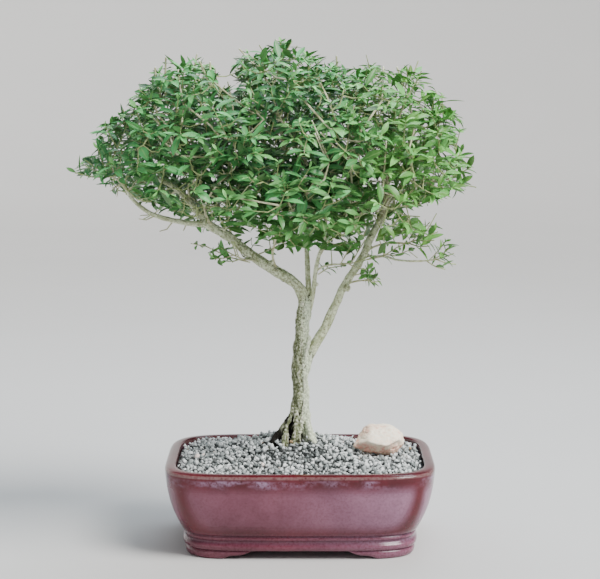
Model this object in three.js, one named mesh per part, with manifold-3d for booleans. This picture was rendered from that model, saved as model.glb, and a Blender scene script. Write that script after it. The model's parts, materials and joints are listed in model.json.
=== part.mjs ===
// A serissa bonsai in its pot: a twin-limbed tree with a wide, flat-bottomed crown of small opposite leaves,
// grit over soil, a pale stone, and a glazed pot on four cloud feet with mesh over its two drainage holes.
// Millimetres, +Z up, the viewer's side at -Y. Until the last lines the pot stands in the middle.
import * as THREE from "three";
import { mergeVertices } from "three/addons/utils/BufferGeometryUtils.js";
import Module from "manifold-3d";

const wasm = await Module();
wasm.setup();

// Driving dimensions of the pot
const POT_LENGTH = 254;
const POT_DEPTH = 200;
const POT_HEIGHT = 83;
const FOOT_HEIGHT = 8;
const FOOT_THICKNESS = 16;
const FLOOR_TOP = 16;
const SQUARENESS = 5.2; // exponent of the plan's superellipse: nearly straight sides, round corners
const PLAN_POINTS = 32;
// Each row: inset from the plan at the rim, and height
const OUTER_PROFILE = [
  [20.5, 0], [18.2, 2], [17.6, 5], [19, FOOT_HEIGHT], [16.6, 10], [16.2, 13], [18.4, 16],
  [17, 19.5], [17.6, 21.5], [15.2, 23.5], [10.6, 33], [6.2, 44], [3.2, 55], [1.3, 66], [0.2, 75],
  [0.2, 79.6], [1.4, 81.2], [6.4, POT_HEIGHT], [10, 82.2],
];
const INNER_PROFILE = [[32, FLOOR_TOP], [25, 25], [16.5, 44], [12, 60], [10, 76], [10, POT_HEIGHT + 1]];
// Half spans of the arch between two feet: on the ground, at the foot's small lobe and under the pot
const FRONT_ARCH = [72, 61, 45];
const SIDE_ARCH = [51, 42, 27];
const LOBE_HEIGHT = 3.4;
const LOBE_LENGTH = 5;
const DRAIN_RADIUS = 9;
const DRAIN_OFFSET = 62;
const DRAIN_SIDES = 16;

// Driving dimensions of what fills the pot
const CLEARANCE = 0.35;
const SOIL_TOP = 74;
const GRIT_EDGE = 78.8;
// Two heaps of grit, a broad one and one against the trunk: height, and spread in X and Y
const GRIT_HEAPS = [[3.6, 98, 78], [12, 40, 36]];
const GRIT_SIZE = 17; // grains in relief, larger than the real ones
const GRIT_RELIEF = 2.3;
const GRIT_SHIFT = 1.8;
const MESH_SIDE = 27;
const MESH_THICKNESS = 1.4;
const MESH_OPENING = 9.5;
const MESH_PITCH = 11.6;
const STONE_CENTRE = [77, 6, 95.5];
const STONE_HALF = [24.5, 17.5, 13.5];
const STONE_BOXINESS = 2.7;

// Driving dimensions of the trunk's foot
const TRUNK_FOOT = [-2.4, 5];
const ROOTS = 7;
const FOOT_POINTS = 28;
// Each row: height, mean reach, depth of the flutes, and lean to the right
const FOOT_PROFILE = [
  [66, 14.2, 2.6, 0], [89, 14.2, 2.6, 0], [93.5, 12.9, 2.5, 0], [98, 11.1, 1.9, 0.2], [103, 9.4, 1.2, 0.6],
  [110, 8.1, 0.7, 1.4], [118, 7.3, 0.3, 2.4], [126, 6.4, 0, 3.2],
];

// Driving dimensions of the crown's envelope, a dome over a nearly flat underside
const HEART = [-22, 6, 340];
const REACH_LEFT = 187;
const REACH_RIGHT = 185;
const REACH_DEPTH = 130;
const REACH_UP = 138;
const REACH_DOWN_LEFT = 44;
const REACH_DOWN_RIGHT = 62;
const BOXINESS = 0.3;
const SHELL = [0.48, 0.7]; // where sprays start, as shares of the way from the heart to the envelope
const INSIDE = [0.15, 0.45];
const TIP_REACH = 0.97;
const SHELL_SPRAYS = 22;
const INSIDE_SPRAYS = 3;
const CANDIDATES = 60;
const SEED = 20933;

// Driving dimensions of branches, shoots and leaves
const FORK_HEIGHT = 220;
const FIRST_GROWN = [0, 6, 300]; // branches nearest to it grow first
const BRANCH_RADIUS = 0.98;
const BRANCH_EXPONENT = 2.4; // a branch's radius to this power grows with the sprays it carries
const BRANCH_ROOM = 1.5;
const SHORTEST_BRANCH = 9;
const TWIG_RADIUS = 0.85;
const SHOOTS_PER_SPRAY = 5;
const SOLID_SHOOTS = 4; // as many of them are solid here
const SHOOT_ATTEMPTS = 16; // each shorter than the one before
const SHOOT_ROOT = 2.6;
const MAIN_SHOOT = 40;
const SIDE_SHOOT = 30;
const SHOOT_VARIATION = 11;
const SHOOT_ROOM = 1.7;
const LEAF_LENGTH = 15.5;
const LEAF_WIDTH_SHARE = 0.31;
const LEAF_PAIRS = 6;
const LEAF_PAIR_STEP = 4.6;
const SOLID_PAIRS = 2;
const LEAF_RIB = 1.8; // a tuft's thickness in the middle, from which its leaves thin out
const NOTCH_RADIUS = 1.1;

const ORIGIN = [0, 0, 0];
const UP = [0, 0, 1];

// Small vector algebra on [x, y, z]
const plus = (a, b, k = 1) => [a[0] + b[0] * k, a[1] + b[1] * k, a[2] + b[2] * k];
const minus = (a, b) => plus(a, b, -1);
const times = (a, k) => plus(ORIGIN, a, k);
const dot = (a, b) => a[0] * b[0] + a[1] * b[1] + a[2] * b[2];
const length = (a) => Math.sqrt(dot(a, a));
const unit = (a) => times(a, 1 / length(a));
const cross = (a, b) => [a[1] * b[2] - a[2] * b[1], a[2] * b[0] - a[0] * b[2], a[0] * b[1] - a[1] * b[0]];
const across = (a, direction) => unit(plus(a, direction, -dot(a, direction)));
const bezier = (a, m, b, t) => plus(plus(times(a, (1 - t) * (1 - t)), m, 2 * t * (1 - t)), b, t * t);

// A repeatable stream of numbers from 0 to 1
function seeded(seed) {
  let state = seed;
  return () => {
    state = (state * 1664525 + 1013904223) % 4294967296;
    return state / 4294967296;
  };
}

// The limbs, laid by hand: each as rows of x, y, z and radius from its root to its tip
const LIMBS = {
  trunk: [
    [-2.4, 5, 84, 8], [-2, 5, 97, 8.2], [-1.2, 5, 108, 8.2], [0.2, 5, 119, 8.1], [1.2, 5, 132, 7.7],
    [0.8, 5, 146, 7.6], [-0.2, 5, 160, 7.2], [-0.6, 5, 172, 6.8], [1.1, 5, 193, 6.5], [2.9, 5, 210, 6.6],
    [4.6, 5, 222, 6.7], [6, 5, 231, 5.2],
  ],
  left: [
    [5, 5, 224, 5.4], [2.4, 4.5, 236, 5.4], [-1.5, 4, 243.5, 5.3], [-9, 3, 250, 5.2], [-19, 1, 256.5, 5.1],
    [-34, -2, 266, 5], [-50.6, -5, 278.5, 4.8], [-64.5, -8, 290.5, 4.6], [-80.5, -11, 300.5, 4.3],
    [-91, -13, 306.5, 3.8],
  ],
  left_low: [
    [-88, -12.5, 305.5, 3], [-100, -17, 305.6, 2.6], [-113, -21, 308, 2.4], [-129, -25, 312, 2.2],
    [-142, -28, 318, 2], [-154, -31, 328, 1.8], [-160, -33, 337, 1.5],
  ],
  left_high: [
    [-88, -12, 305, 3.6], [-94, -10, 314, 3.3], [-103, -6, 324, 3], [-113, -1, 334, 2.6],
    [-123, 5, 340.5, 2.3], [-134, 11, 345, 1.9],
  ],
  right: [
    [1, 5, 156, 5], [5, 5.5, 168, 5.1], [11, 6, 181.5, 4.9], [18.4, 7, 194, 4.7], [25.6, 8.5, 207.5, 4.5],
    [31.7, 10, 221, 4.2], [37, 11.5, 232, 4], [41.6, 13, 242, 4], [47.6, 14.5, 252, 3.9],
    [55, 16, 263, 3.8], [62, 18, 275, 3.7], [67.2, 20, 288.5, 3.6], [75.6, 22, 303.5, 3.5],
    [82, 24, 318, 3.4], [83.6, 25, 326, 2.9],
  ],
  right_high: [
    [82, 24, 319, 2.5], [82, 27, 332, 2.3], [84, 31, 346, 2.1], [93, 33, 361, 2], [104, 34, 377, 1.8],
    [109, 34, 390, 1.6], [107, 33, 403, 1.3],
  ],
  stem_back: [
    [6, 6, 222, 3], [8.1, 7, 236, 2.8], [7.4, 9, 258, 2.6], [6.4, 13, 279, 2.4], [5.6, 18, 297, 2.2],
    [4, 26, 316, 2], [-2, 36, 334, 1.8],
  ],
  stem_front: [
    [9, 4, 220, 2.6], [12.3, 3, 236, 2.2], [14.7, 0, 258, 2], [18, -4, 274.5, 1.9], [22.8, -10, 285.5, 1.7],
    [31, -17, 296.5, 1.6], [40, -24, 306, 1.4],
  ],
  low_right: [
    [61, 18, 273, 1.5], [70, 20, 270.5, 1.3], [81, 22, 270.5, 1.2], [92, 24, 267, 1.1], [104, 26, 265.5, 1],
  ],
};
const LIMB_SIDES = { trunk: 11, left: 8, right: 8 };
const SLENDER_LIMB_SIDES = 6;
// No branch leaves a limb below this height, and none leaves the trunk
const LOWEST_BRANCH = {
  trunk: Infinity, left: 255, left_low: 307, left_high: 313, right: 240, right_high: 330,
  stem_back: 255, stem_front: 255, low_right: 262,
};

// The few sprays whose place the tree's outline asks for: start, heading, length of shoots, and limb
const FEATURED = [
  { at: [-167, -35, 346], heading: [-1, -0.1, 0.45], size: 0.8, limb: "left_low" },
  { at: [117, 27, 265.5], heading: [1, 0.1, 0], size: 0.6, limb: "low_right" },
  { at: [98, 14, 284], heading: [1, -0.3, 0.1], size: 0.8, limb: "right" },
  { at: [57, 6, 249], heading: [0.5, -0.7, 0.05], size: 0.35, limb: "right" },
  { at: [-52, -17, 272], heading: [-1, -0.3, 0.05], size: 0.5, limb: "left" },
  { at: [-26, -14, 281], heading: [-0.4, -0.6, 0.3], size: 0.7, limb: "left" },
  { at: [34, -6, 266], heading: [0.7, -0.6, 0.3], size: 0.7, limb: "stem_front" },
  { at: [-126, 26, 322], heading: [-0.7, 0.8, 0.1], size: 1, limb: "left_high" },
  { at: [-146, 17, 356], heading: [-0.9, 0.1, 0.6], size: 1, limb: "left_high" },
  { at: [104, 33, 417], heading: [0.1, -0.1, 1], size: 0.7, limb: "right_high" },
  { at: [117, 2, 342], heading: [1, -0.15, 0.1], size: 0.9, limb: "right" },
  { at: [115, -14, 388], heading: [0.9, -0.3, 0.5], size: 0.9, limb: null },
];

// How far p lies from the crown's heart, as a share of the envelope's reach in that direction
function crownShare(p) {
  const reachDown = p[0] < HEART[0] ? REACH_DOWN_LEFT : REACH_DOWN_RIGHT;
  const x = (p[0] - HEART[0]) / (p[0] < HEART[0] ? REACH_LEFT : REACH_RIGHT);
  const y = (p[1] - HEART[1]) / REACH_DEPTH;
  const z = (p[2] - HEART[2]) / (p[2] < HEART[2] ? reachDown : REACH_UP);
  const round = x * x + y * y + z * z;
  const boxy = Math.sqrt(x * x * x * x + y * y * y * y + z * z * z * z);
  return Math.sqrt((1 - BOXINESS) * round + BOXINESS * boxy);
}

// The shortest distance between the segments a-b and c-d
function segmentGap(a, b, c, d) {
  const u = minus(b, a);
  const v = minus(d, c);
  const w = minus(a, c);
  const uu = dot(u, u);
  const uv = dot(u, v);
  const vv = dot(v, v);
  const wide = uu * vv - uv * uv;
  let s = wide > 1e-9 ? (uv * dot(v, w) - vv * dot(u, w)) / wide : 0;
  s = Math.min(1, Math.max(0, s));
  const t = Math.min(1, Math.max(0, (uv * s + dot(v, w)) / vv));
  s = Math.min(1, Math.max(0, (uv * t - dot(u, w)) / uu));
  return length(minus(plus(a, u, s), plus(c, v, t)));
}

// A random direction, even on all sides
function anyWay(random) {
  for (;;) {
    const v = [random() * 2 - 1, random() * 2 - 1, random() * 2 - 1];
    const far = length(v);
    if (far > 0.1 && far < 1) return times(v, 1 / far);
  }
}

// A random point of the crown between two shares of its reach
function drawPlace(band, random) {
  const within = (low, high) => low + (high - low) * random();
  for (;;) {
    const p = [
      within(HEART[0] - REACH_LEFT, HEART[0] + REACH_RIGHT),
      within(HEART[1] - REACH_DEPTH, HEART[1] + REACH_DEPTH),
      within(HEART[2] - REACH_DOWN_RIGHT, HEART[2] + REACH_UP),
    ];
    const share = crownShare(p);
    if (share > band[0] && share < band[1]) return p;
  }
}

// Where sprays start: the featured ones, then each where it falls furthest from all before it
function placeSprays(random) {
  const sprays = FEATURED.map((spray) => ({ ...spray, heading: unit(spray.heading) }));
  const scatter = (band, count) => {
    for (let n = 0; n < count; n++) {
      let best = null;
      let most = -1;
      for (let c = 0; c < CANDIDATES; c++) {
        const p = drawPlace(band, random);
        const room = Math.min(...sprays.map((spray) => length(minus(spray.at, p))));
        if (room > most) [best, most] = [p, room];
      }
      sprays.push({ at: best, heading: unit(minus(best, HEART)), size: 1, limb: null });
    }
  };
  scatter(SHELL, SHELL_SPRAYS);
  scatter(INSIDE, INSIDE_SPRAYS);
  return sprays;
}

// The places on the limbs that a branch may leave from
function limbStations() {
  const stations = [];
  for (const [name, limb] of Object.entries(LIMBS))
    limb.forEach((p, i) => {
      if (p[2] < LOWEST_BRANCH[name]) return;
      const next = limb[Math.min(i + 1, limb.length - 1)];
      const before = limb[Math.max(i - 1, 0)];
      const direction = unit(minus(next, before));
      stations.push({ at: p.slice(0, 3), direction, way: p[2] - FORK_HEIGHT, limb: name });
    });
  return stations;
}

// The place a branch to a spray leaves from: near, on a short way to the trunk, and without a sharp bend
function nearestStation(stations, spray) {
  let best = null;
  let least = Infinity;
  for (const station of stations) {
    if (spray.limb && station.limb !== spray.limb) continue;
    const gap = minus(spray.at, station.at);
    const far = length(gap);
    if (far < SHORTEST_BRANCH) continue;
    const turn = 1 - dot(gap, station.direction) / far;
    const cost = far + 0.3 * station.way + 0.8 * far * turn;
    if (cost < least) [best, least] = [station, cost];
  }
  return best;
}

// Branches from the limbs to the sprays, in which later ones may leave from earlier ones
function growBranches(sprays) {
  const stations = limbStations();
  const nearness = (spray) => length(minus(spray.at, FIRST_GROWN));
  const branches = [];
  for (const spray of sprays.slice().sort((a, b) => nearness(a) - nearness(b))) {
    const station = nearestStation(stations, spray);
    const gap = minus(spray.at, station.at);
    const far = length(gap);
    const knee = plus(station.at, unit(plus(station.direction, unit(gap), 1.1)), 0.45 * far);
    const branch = { start: station.at, knee, end: spray.at, parent: station.branch, load: 0 };
    branches.push(branch);
    spray.branch = branch;
    spray.tangent = unit(minus(spray.at, knee));
    for (const share of [0.35, 0.6, 0.8]) {
      const at = bezier(branch.start, knee, branch.end, share);
      const ahead = bezier(branch.start, knee, branch.end, share + 0.1);
      const way = station.way + far * share;
      stations.push({ at, direction: unit(minus(ahead, at)), way, limb: station.limb, branch });
    }
    for (let b = branch; b; b = b.parent) b.load += 1;
  }
  return branches;
}

// The segments of limbs and branches, which shoots and leaves keep clear of
function woodSegments(branches) {
  const taken = [];
  for (const limb of Object.values(LIMBS))
    for (let i = 1; i < limb.length; i++)
      taken.push({ a: limb[i - 1].slice(0, 3), b: limb[i].slice(0, 3), radius: limb[i - 1][3] });
  for (const branch of branches)
    for (let i = 0; i < 3; i++) {
      const a = bezier(branch.start, branch.knee, branch.end, i / 3);
      const b = bezier(branch.start, branch.knee, branch.end, (i + 1) / 3);
      taken.push({ a, b, radius: BRANCH_ROOM, owner: branch });
    }
  return taken;
}

// One try at a shoot: a spray's first runs on from its branch, the others leave that one to either side
function tryShoot(spray, outward, number, attempt, random) {
  const isMain = number === 0;
  const shorter = 1 - (0.45 * attempt) / SHOOT_ATTEMPTS;
  const long = ((isMain ? MAIN_SHOOT : SIDE_SHOOT) + SHOOT_VARIATION * random()) * spray.size * shorter;
  let direction = unit(plus(outward, anyWay(random), 0.25));
  let from = plus(spray.at, spray.tangent, SHOOT_ROOT);
  if (!isMain) {
    const main = spray.shoots[0];
    from = plus(main.from, minus(main.knee, main.from), 0.12 + 0.24 * (number - 1));
    const side = across(anyWay(random), outward);
    const isReturn = spray.side && number % 2 === 0;
    const way = isReturn ? unit(plus(times(spray.side, -1), side, 0.35)) : side;
    direction = unit(plus(plus(outward, way, 0.95), UP, 0.2));
    if (number % 2 === 1) spray.side = side;
  }
  const knee = plus(from, direction, 0.5 * long);
  const level = plus(from, direction, long);
  const tip = plus(plus(level, UP, 0.1 * long), anyWay(random), 0.06 * long);
  return { from, knee, tip, number };
}

// The shoots of every spray, each clear of all other wood and shoots
function growShoots(sprays, taken, random) {
  const isOwn = (t, spray) => t.owner === spray || t.owner === spray.branch;
  const isClear = (a, b, spray) =>
    taken.every((t) => isOwn(t, spray) || segmentGap(a, b, t.a, t.b) > SHOOT_ROOM + t.radius);
  for (const spray of sprays) {
    spray.shoots = [];
    const start = plus(plus(spray.tangent, spray.heading, 1.1), UP, 0.25);
    const outward = unit(plus(start, anyWay(random), 0.3));
    for (let number = 0; number < SHOOTS_PER_SPRAY; number++) {
      for (let attempt = 0; attempt < SHOOT_ATTEMPTS; attempt++) {
        const shoot = tryShoot(spray, outward, number, attempt, random);
        if (crownShare(shoot.tip) > TIP_REACH && !spray.limb) continue;
        if (!isClear(shoot.from, shoot.knee, spray) || !isClear(shoot.knee, shoot.tip, spray)) continue;
        spray.shoots.push(shoot);
        break;
      }
      if (!spray.shoots.length) break;
    }
    for (const shoot of spray.shoots) {
      taken.push({ a: shoot.from, b: shoot.knee, radius: TWIG_RADIUS, owner: spray, shoot });
      taken.push({ a: shoot.knee, b: shoot.tip, radius: TWIG_RADIUS, owner: spray, shoot });
    }
  }
}

// The leaves of one shoot: opposite pairs, each pair at right angles to the one above it
function growLeaves(shoot, random) {
  shoot.leaves = [];
  const direction = unit(minus(shoot.tip, shoot.knee));
  const first = across(anyWay(random), direction);
  const second = cross(direction, first);
  for (let pair = 0; pair < LEAF_PAIRS; pair++) {
    const root = plus(shoot.tip, direction, -1 - LEAF_PAIR_STEP * pair);
    const spread = pair % 2 === 0 ? first : second;
    const age = pair === 0 ? 0.78 : 1;
    for (const side of [1, -1]) {
      const sideways = across(plus(times(spread, side), anyWay(random), 0.25), direction);
      const lean = 0.85 - 0.1 * pair + 0.25 * (random() * 2 - 1);
      const axis = unit(plus(plus(sideways, direction, lean), UP, 0.12));
      shoot.leaves.push({ root, axis, pair, length: LEAF_LENGTH * age * (0.8 + 0.42 * random()) });
    }
  }
}

function growCrown() {
  const random = seeded(SEED);
  const sprays = placeSprays(random);
  const branches = growBranches(sprays);
  const taken = woodSegments(branches);
  growShoots(sprays, taken, random);
  for (const spray of sprays) spray.shoots.forEach((shoot) => growLeaves(shoot, random));
  return { sprays: sprays.filter((spray) => spray.shoots.length), branches, taken };
}

// A solid from a closed geometry
function solidOf(geometry) {
  const bare = geometry.index ? geometry.toNonIndexed() : geometry.clone();
  for (const name of Object.keys(bare.attributes)) if (name !== "position") bare.deleteAttribute(name);
  const merged = mergeVertices(bare, 1e-4);
  const vertProperties = merged.attributes.position.array;
  const triVerts = new Uint32Array(merged.index.array);
  return new wasm.Manifold(new wasm.Mesh({ numProp: 3, vertProperties, triVerts }));
}

function geometryOf(solid) {
  const mesh = solid.getMesh();
  const positions = new Float32Array(mesh.numVert * 3);
  for (let i = 0; i < mesh.numVert; i++)
    positions.set(mesh.vertProperties.subarray(i * mesh.numProp, i * mesh.numProp + 3), i * 3);
  const geometry = new THREE.BufferGeometry();
  geometry.setAttribute("position", new THREE.BufferAttribute(positions, 3));
  geometry.setIndex(new THREE.BufferAttribute(new Uint32Array(mesh.triVerts), 1));
  geometry.computeVertexNormals();
  return geometry;
}

// A solid from its points and the triangles between them
function closed(points, index) {
  const geometry = new THREE.BufferGeometry();
  geometry.setAttribute("position", new THREE.Float32BufferAttribute(points.flat(), 3));
  geometry.setIndex(index);
  return solidOf(geometry);
}

// The triangles of a flat cap on n points from the first on, which turn left, or right at the lower end
function cap(first, n, isLower) {
  const index = [];
  for (let i = 1; i + 1 < n; i++) {
    const [a, b] = isLower ? [i + 1, i] : [i, i + 1];
    index.push(first, first + a, first + b);
  }
  return index;
}

// The triangles between rings of n points each
function wall(ringCount, n) {
  const index = [];
  for (let r = 0; r + 1 < ringCount; r++)
    for (let i = 0; i < n; i++) {
      const a = r * n + i;
      const b = r * n + ((i + 1) % n);
      index.push(a, b, b + n, a, b + n, a + n);
    }
  return index;
}

// A closed surface through rings of equally many points, which turn left as seen from beyond the last ring
function skin(rings) {
  const n = rings[0].length;
  const end = (rings.length - 1) * n;
  return closed(rings.flat(), [...cap(0, n, true), ...wall(rings.length, n), ...cap(end, n, false)]);
}

// Rings of points round a path, one for each of its points
function ringsAlong(path, radii, sides) {
  let side = null;
  return path.map((p, i) => {
    const tangent = unit(minus(path[Math.min(i + 1, path.length - 1)], path[Math.max(i - 1, 0)]));
    side = across(side || (Math.abs(tangent[2]) < 0.9 ? UP : [1, 0, 0]), tangent);
    const other = cross(tangent, side);
    return Array.from({ length: sides }, (_, k) => {
      const turn = (2 * Math.PI * k) / sides;
      return plus(plus(p, side, radii[i] * Math.cos(turn)), other, radii[i] * Math.sin(turn));
    });
  });
}

// A tapering round rod along a path
const rod = (path, radii, sides) => skin(ringsAlong(path, radii, sides));

const union = (solids) => solids.reduce((sum, solid) => sum.add(solid));

// The difference between two turns, from minus half a turn to half a turn
const turnBetween = (a, b) => Math.atan2(Math.sin(b - a), Math.cos(b - a));

// The triangles between an outline and the smaller ring inside it, given each point's turn about their axis
function bridge(outerTurns, outerStart, innerTurns, innerStart) {
  const n = outerTurns.length;
  const m = innerTurns.length;
  const gaps = innerTurns.map((turn) => Math.abs(turnBetween(outerTurns[0], turn)));
  const nearest = gaps.indexOf(Math.min(...gaps));
  const outer = (i) => outerStart + (i % n);
  const inner = (j) => innerStart + ((nearest + j) % m);
  const innerStep = (j) => turnBetween(innerTurns[(nearest + j) % m], innerTurns[(nearest + j + 1) % m]);
  const index = [];
  let outerTurned = 0;
  let innerTurned = turnBetween(outerTurns[0], innerTurns[nearest]);
  let j = 0;
  for (let i = 0; i < n; i++) {
    outerTurned += turnBetween(outerTurns[i], outerTurns[(i + 1) % n]);
    while (j < m && innerTurned + innerStep(j) / 2 < outerTurned) {
      index.push(outer(i), inner(j), inner(j + 1));
      innerTurned += innerStep(j);
      j += 1;
    }
    index.push(outer(i + 1), outer(i), inner(j));
  }
  for (; j < m; j++) index.push(outer(0), inner(j), inner(j + 1));
  return index;
}

// One ring of the pot's plan, inset from the rim, with most of its points at the corners
function planRing(inset, z) {
  const along = (wave, half) => Math.sign(wave) * Math.abs(wave) ** (2 / SQUARENESS) * (half - inset);
  return Array.from({ length: PLAN_POINTS }, (_, k) => {
    const turn = (2 * Math.PI * k) / PLAN_POINTS;
    return [along(Math.cos(turn), POT_LENGTH / 2), along(Math.sin(turn), POT_DEPTH / 2), z];
  });
}

// The inset of the pot's inner wall at a height
function innerInset(z) {
  const i = Math.max(INNER_PROFILE.findIndex(([, height]) => height >= z), 1);
  const [[a, za], [b, zb]] = [INNER_PROFILE[i - 1], INNER_PROFILE[i]];
  return a + ((b - a) * (z - za)) / (zb - za);
}

// The space between two feet, as a bar along Y that is cut away
function archBar([ground, lobe, under], reach) {
  const arch = new THREE.Shape();
  arch.moveTo(-ground, -1);
  arch.lineTo(ground, -1);
  arch.lineTo(ground, 0.2);
  arch.quadraticCurveTo((ground + lobe) / 2, LOBE_HEIGHT, lobe, LOBE_HEIGHT);
  arch.quadraticCurveTo(under + LOBE_LENGTH, LOBE_HEIGHT, under, FOOT_HEIGHT);
  arch.lineTo(-under, FOOT_HEIGHT);
  arch.quadraticCurveTo(-under - LOBE_LENGTH, LOBE_HEIGHT, -lobe, LOBE_HEIGHT);
  arch.quadraticCurveTo(-(ground + lobe) / 2, LOBE_HEIGHT, -ground, 0.2);
  const bar = new THREE.ExtrudeGeometry(arch, { depth: 2 * reach, bevelEnabled: false, curveSegments: 4 });
  bar.translate(0, 0, -reach);
  return bar.rotateX(Math.PI / 2);
}

function makePot() {
  const outside = skin(OUTER_PROFILE.map(([inset, z]) => planRing(inset, z)));
  const hollow = skin(INNER_PROFILE.map(([inset, z]) => planRing(inset, z)));
  const recessInset = OUTER_PROFILE[0][0] + FOOT_THICKNESS;
  const recess = skin([planRing(recessInset, -1), planRing(recessInset, FOOT_HEIGHT)]);
  const sideArch = archBar(SIDE_ARCH, POT_LENGTH).rotateZ(Math.PI / 2);
  let pot = outside.subtract(hollow).subtract(recess);
  pot = pot.subtract(solidOf(archBar(FRONT_ARCH, POT_DEPTH))).subtract(solidOf(sideArch));
  for (const side of [-1, 1]) {
    const drain = new THREE.CylinderGeometry(DRAIN_RADIUS, DRAIN_RADIUS, 3 * FLOOR_TOP, DRAIN_SIDES);
    drain.rotateX(Math.PI / 2);
    pot = pot.subtract(solidOf(drain.translate(side * DRAIN_OFFSET, 0, FLOOR_TOP)));
  }
  return pot;
}

// A square of plastic mesh that keeps the soil off a drainage hole
function makeDrainMesh(x) {
  const z = FLOOR_TOP + CLEARANCE + MESH_THICKNESS / 2;
  const plate = new THREE.BoxGeometry(MESH_SIDE, MESH_SIDE, MESH_THICKNESS);
  let solid = solidOf(plate.translate(x, 0, z));
  for (const column of [-0.5, 0.5])
    for (const row of [-0.5, 0.5]) {
      const opening = new THREE.BoxGeometry(MESH_OPENING, MESH_OPENING, 2 * MESH_THICKNESS);
      solid = solid.subtract(solidOf(opening.translate(x + column * MESH_PITCH, row * MESH_PITCH, z)));
    }
  return solid;
}

// The soil, with a seat over each drain mesh and a plain hole for the trunk
function makeSoil(treeHole) {
  const heights = [FLOOR_TOP + CLEARANCE, 25, 44, 60, SOIL_TOP];
  let soil = skin(heights.map((z) => planRing(innerInset(z) + 2 * CLEARANCE, z)));
  for (const side of [-1, 1]) {
    const seat = new THREE.BoxGeometry(MESH_SIDE + 1, MESH_SIDE + 1, 2 * (MESH_THICKNESS + CLEARANCE));
    soil = soil.subtract(solidOf(seat.translate(side * DRAIN_OFFSET, 0, FLOOR_TOP + CLEARANCE)));
  }
  return soil.subtract(treeHole);
}

// Height of the grit, which is heaped up round the trunk
function gritHeight(x, y) {
  const heap = ([height, spreadX, spreadY]) =>
    height * Math.exp(-(((x - TRUNK_FOOT[0]) / spreadX) ** 2) - ((y - TRUNK_FOOT[1]) / spreadY) ** 2);
  return GRIT_HEAPS.reduce((z, row) => z + heap(row), GRIT_EDGE);
}

// The top of the grit, far wider than the pot: six-sided grains, each with its middle up and its rim down
function gritTop(random) {
  const jitter = (most) => most * (2 * random() - 1);
  const spacing = GRIT_SIZE / Math.sqrt(3);
  const step = (spacing * Math.sqrt(3)) / 2;
  const columns = Math.ceil(POT_LENGTH / spacing);
  const rows = Math.ceil(POT_DEPTH / step);
  const points = [];
  for (let row = 0; row < rows; row++)
    for (let column = 0; column < columns; column++) {
      const isOdd = row % 2;
      const x = (column + isOdd / 2 - columns / 2) * spacing + jitter(GRIT_SHIFT);
      const y = (row - rows / 2) * step + jitter(GRIT_SHIFT);
      const isMiddle = (column - (row - isOdd) / 2 + 2 * row) % 3 === 0;
      const relief = isMiddle ? GRIT_RELIEF : -0.5 * GRIT_RELIEF;
      points.push([x, y, gritHeight(x, y) + relief + jitter(0.4 * GRIT_RELIEF)]);
    }
  return { points, rows, columns };
}

// The grit: one solid with its grains as relief
function makeGravel(treeHole, stoneSeat) {
  const { points, rows, columns } = gritTop(seeded(SEED + 1));
  const at = (column, row) => row * columns + column;
  const index = [];
  for (let row = 0; row + 1 < rows; row++)
    for (let column = 0; column + 1 < columns; column++) {
      const [a, b] = [at(column, row), at(column + 1, row)];
      const [c, d] = [at(column, row + 1), at(column + 1, row + 1)];
      index.push(...(row % 2 ? [a, d, c, a, b, d] : [a, b, c, b, d, c]));
    }
  const lower = (i) => points.length + i;
  const underside = index.map(lower).reverse();
  const border = [];
  for (let column = 0; column + 1 < columns; column++) border.push(at(column, 0));
  for (let row = 0; row + 1 < rows; row++) border.push(at(columns - 1, row));
  for (let column = columns - 1; column > 0; column--) border.push(at(column, rows - 1));
  for (let row = rows - 1; row > 0; row--) border.push(at(0, row));
  const sides = border.flatMap((a, i) => {
    const b = border[(i + 1) % border.length];
    return [lower(a), lower(b), b, lower(a), b, a];
  });
  const base = points.map(([x, y]) => [x, y, FLOOR_TOP]);
  const block = closed([...points, ...base], [...index, ...underside, ...sides]);
  const inset = innerInset(GRIT_EDGE) + 2 * CLEARANCE;
  const filled = skin([planRing(inset, SOIL_TOP + CLEARANCE), planRing(inset, 2 * POT_HEIGHT)]);
  return filled.intersect(block).subtract(treeHole).subtract(stoneSeat);
}

// The stone: a weathered lump, nearly flat on top, drawn in underneath, with a notch in its left end
function makeStone(swell) {
  const lump = new THREE.IcosahedronGeometry(1, 3);
  const position = lump.attributes.position;
  const power = (c) => Math.abs(c) ** STONE_BOXINESS;
  for (let i = 0; i < position.count; i++) {
    const [x, y, z] = [position.getX(i), position.getY(i), position.getZ(i)];
    const broadWaves = 0.04 * Math.sin(5 * x + 2 * z) + 0.035 * Math.sin(6 * y - 3 * x);
    const waves = broadWaves + 0.025 * Math.cos(9 * z + 4 * y);
    const reach = (1 + waves) * (power(x) + power(y) + power(z)) ** (-1 / STONE_BOXINESS);
    const drawnIn = z < 0 ? 1 + 0.34 * z : 1 - 0.16 * z * z;
    const notch = 1 - 0.2 * Math.exp(-((x + 0.95) ** 2 + (y + 0.35) ** 2 + (z + 0.05) ** 2) / 0.07);
    const shoulder = x > 0 && z > 0 ? 1 - 0.14 * x * x : 1;
    position.setXYZ(
      i,
      STONE_CENTRE[0] + x * reach * drawnIn * notch * (STONE_HALF[0] + swell),
      STONE_CENTRE[1] + y * reach * drawnIn * notch * (STONE_HALF[1] + swell),
      STONE_CENTRE[2] + z * reach * shoulder * (STONE_HALF[2] + swell),
    );
  }
  return solidOf(lump);
}

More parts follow.
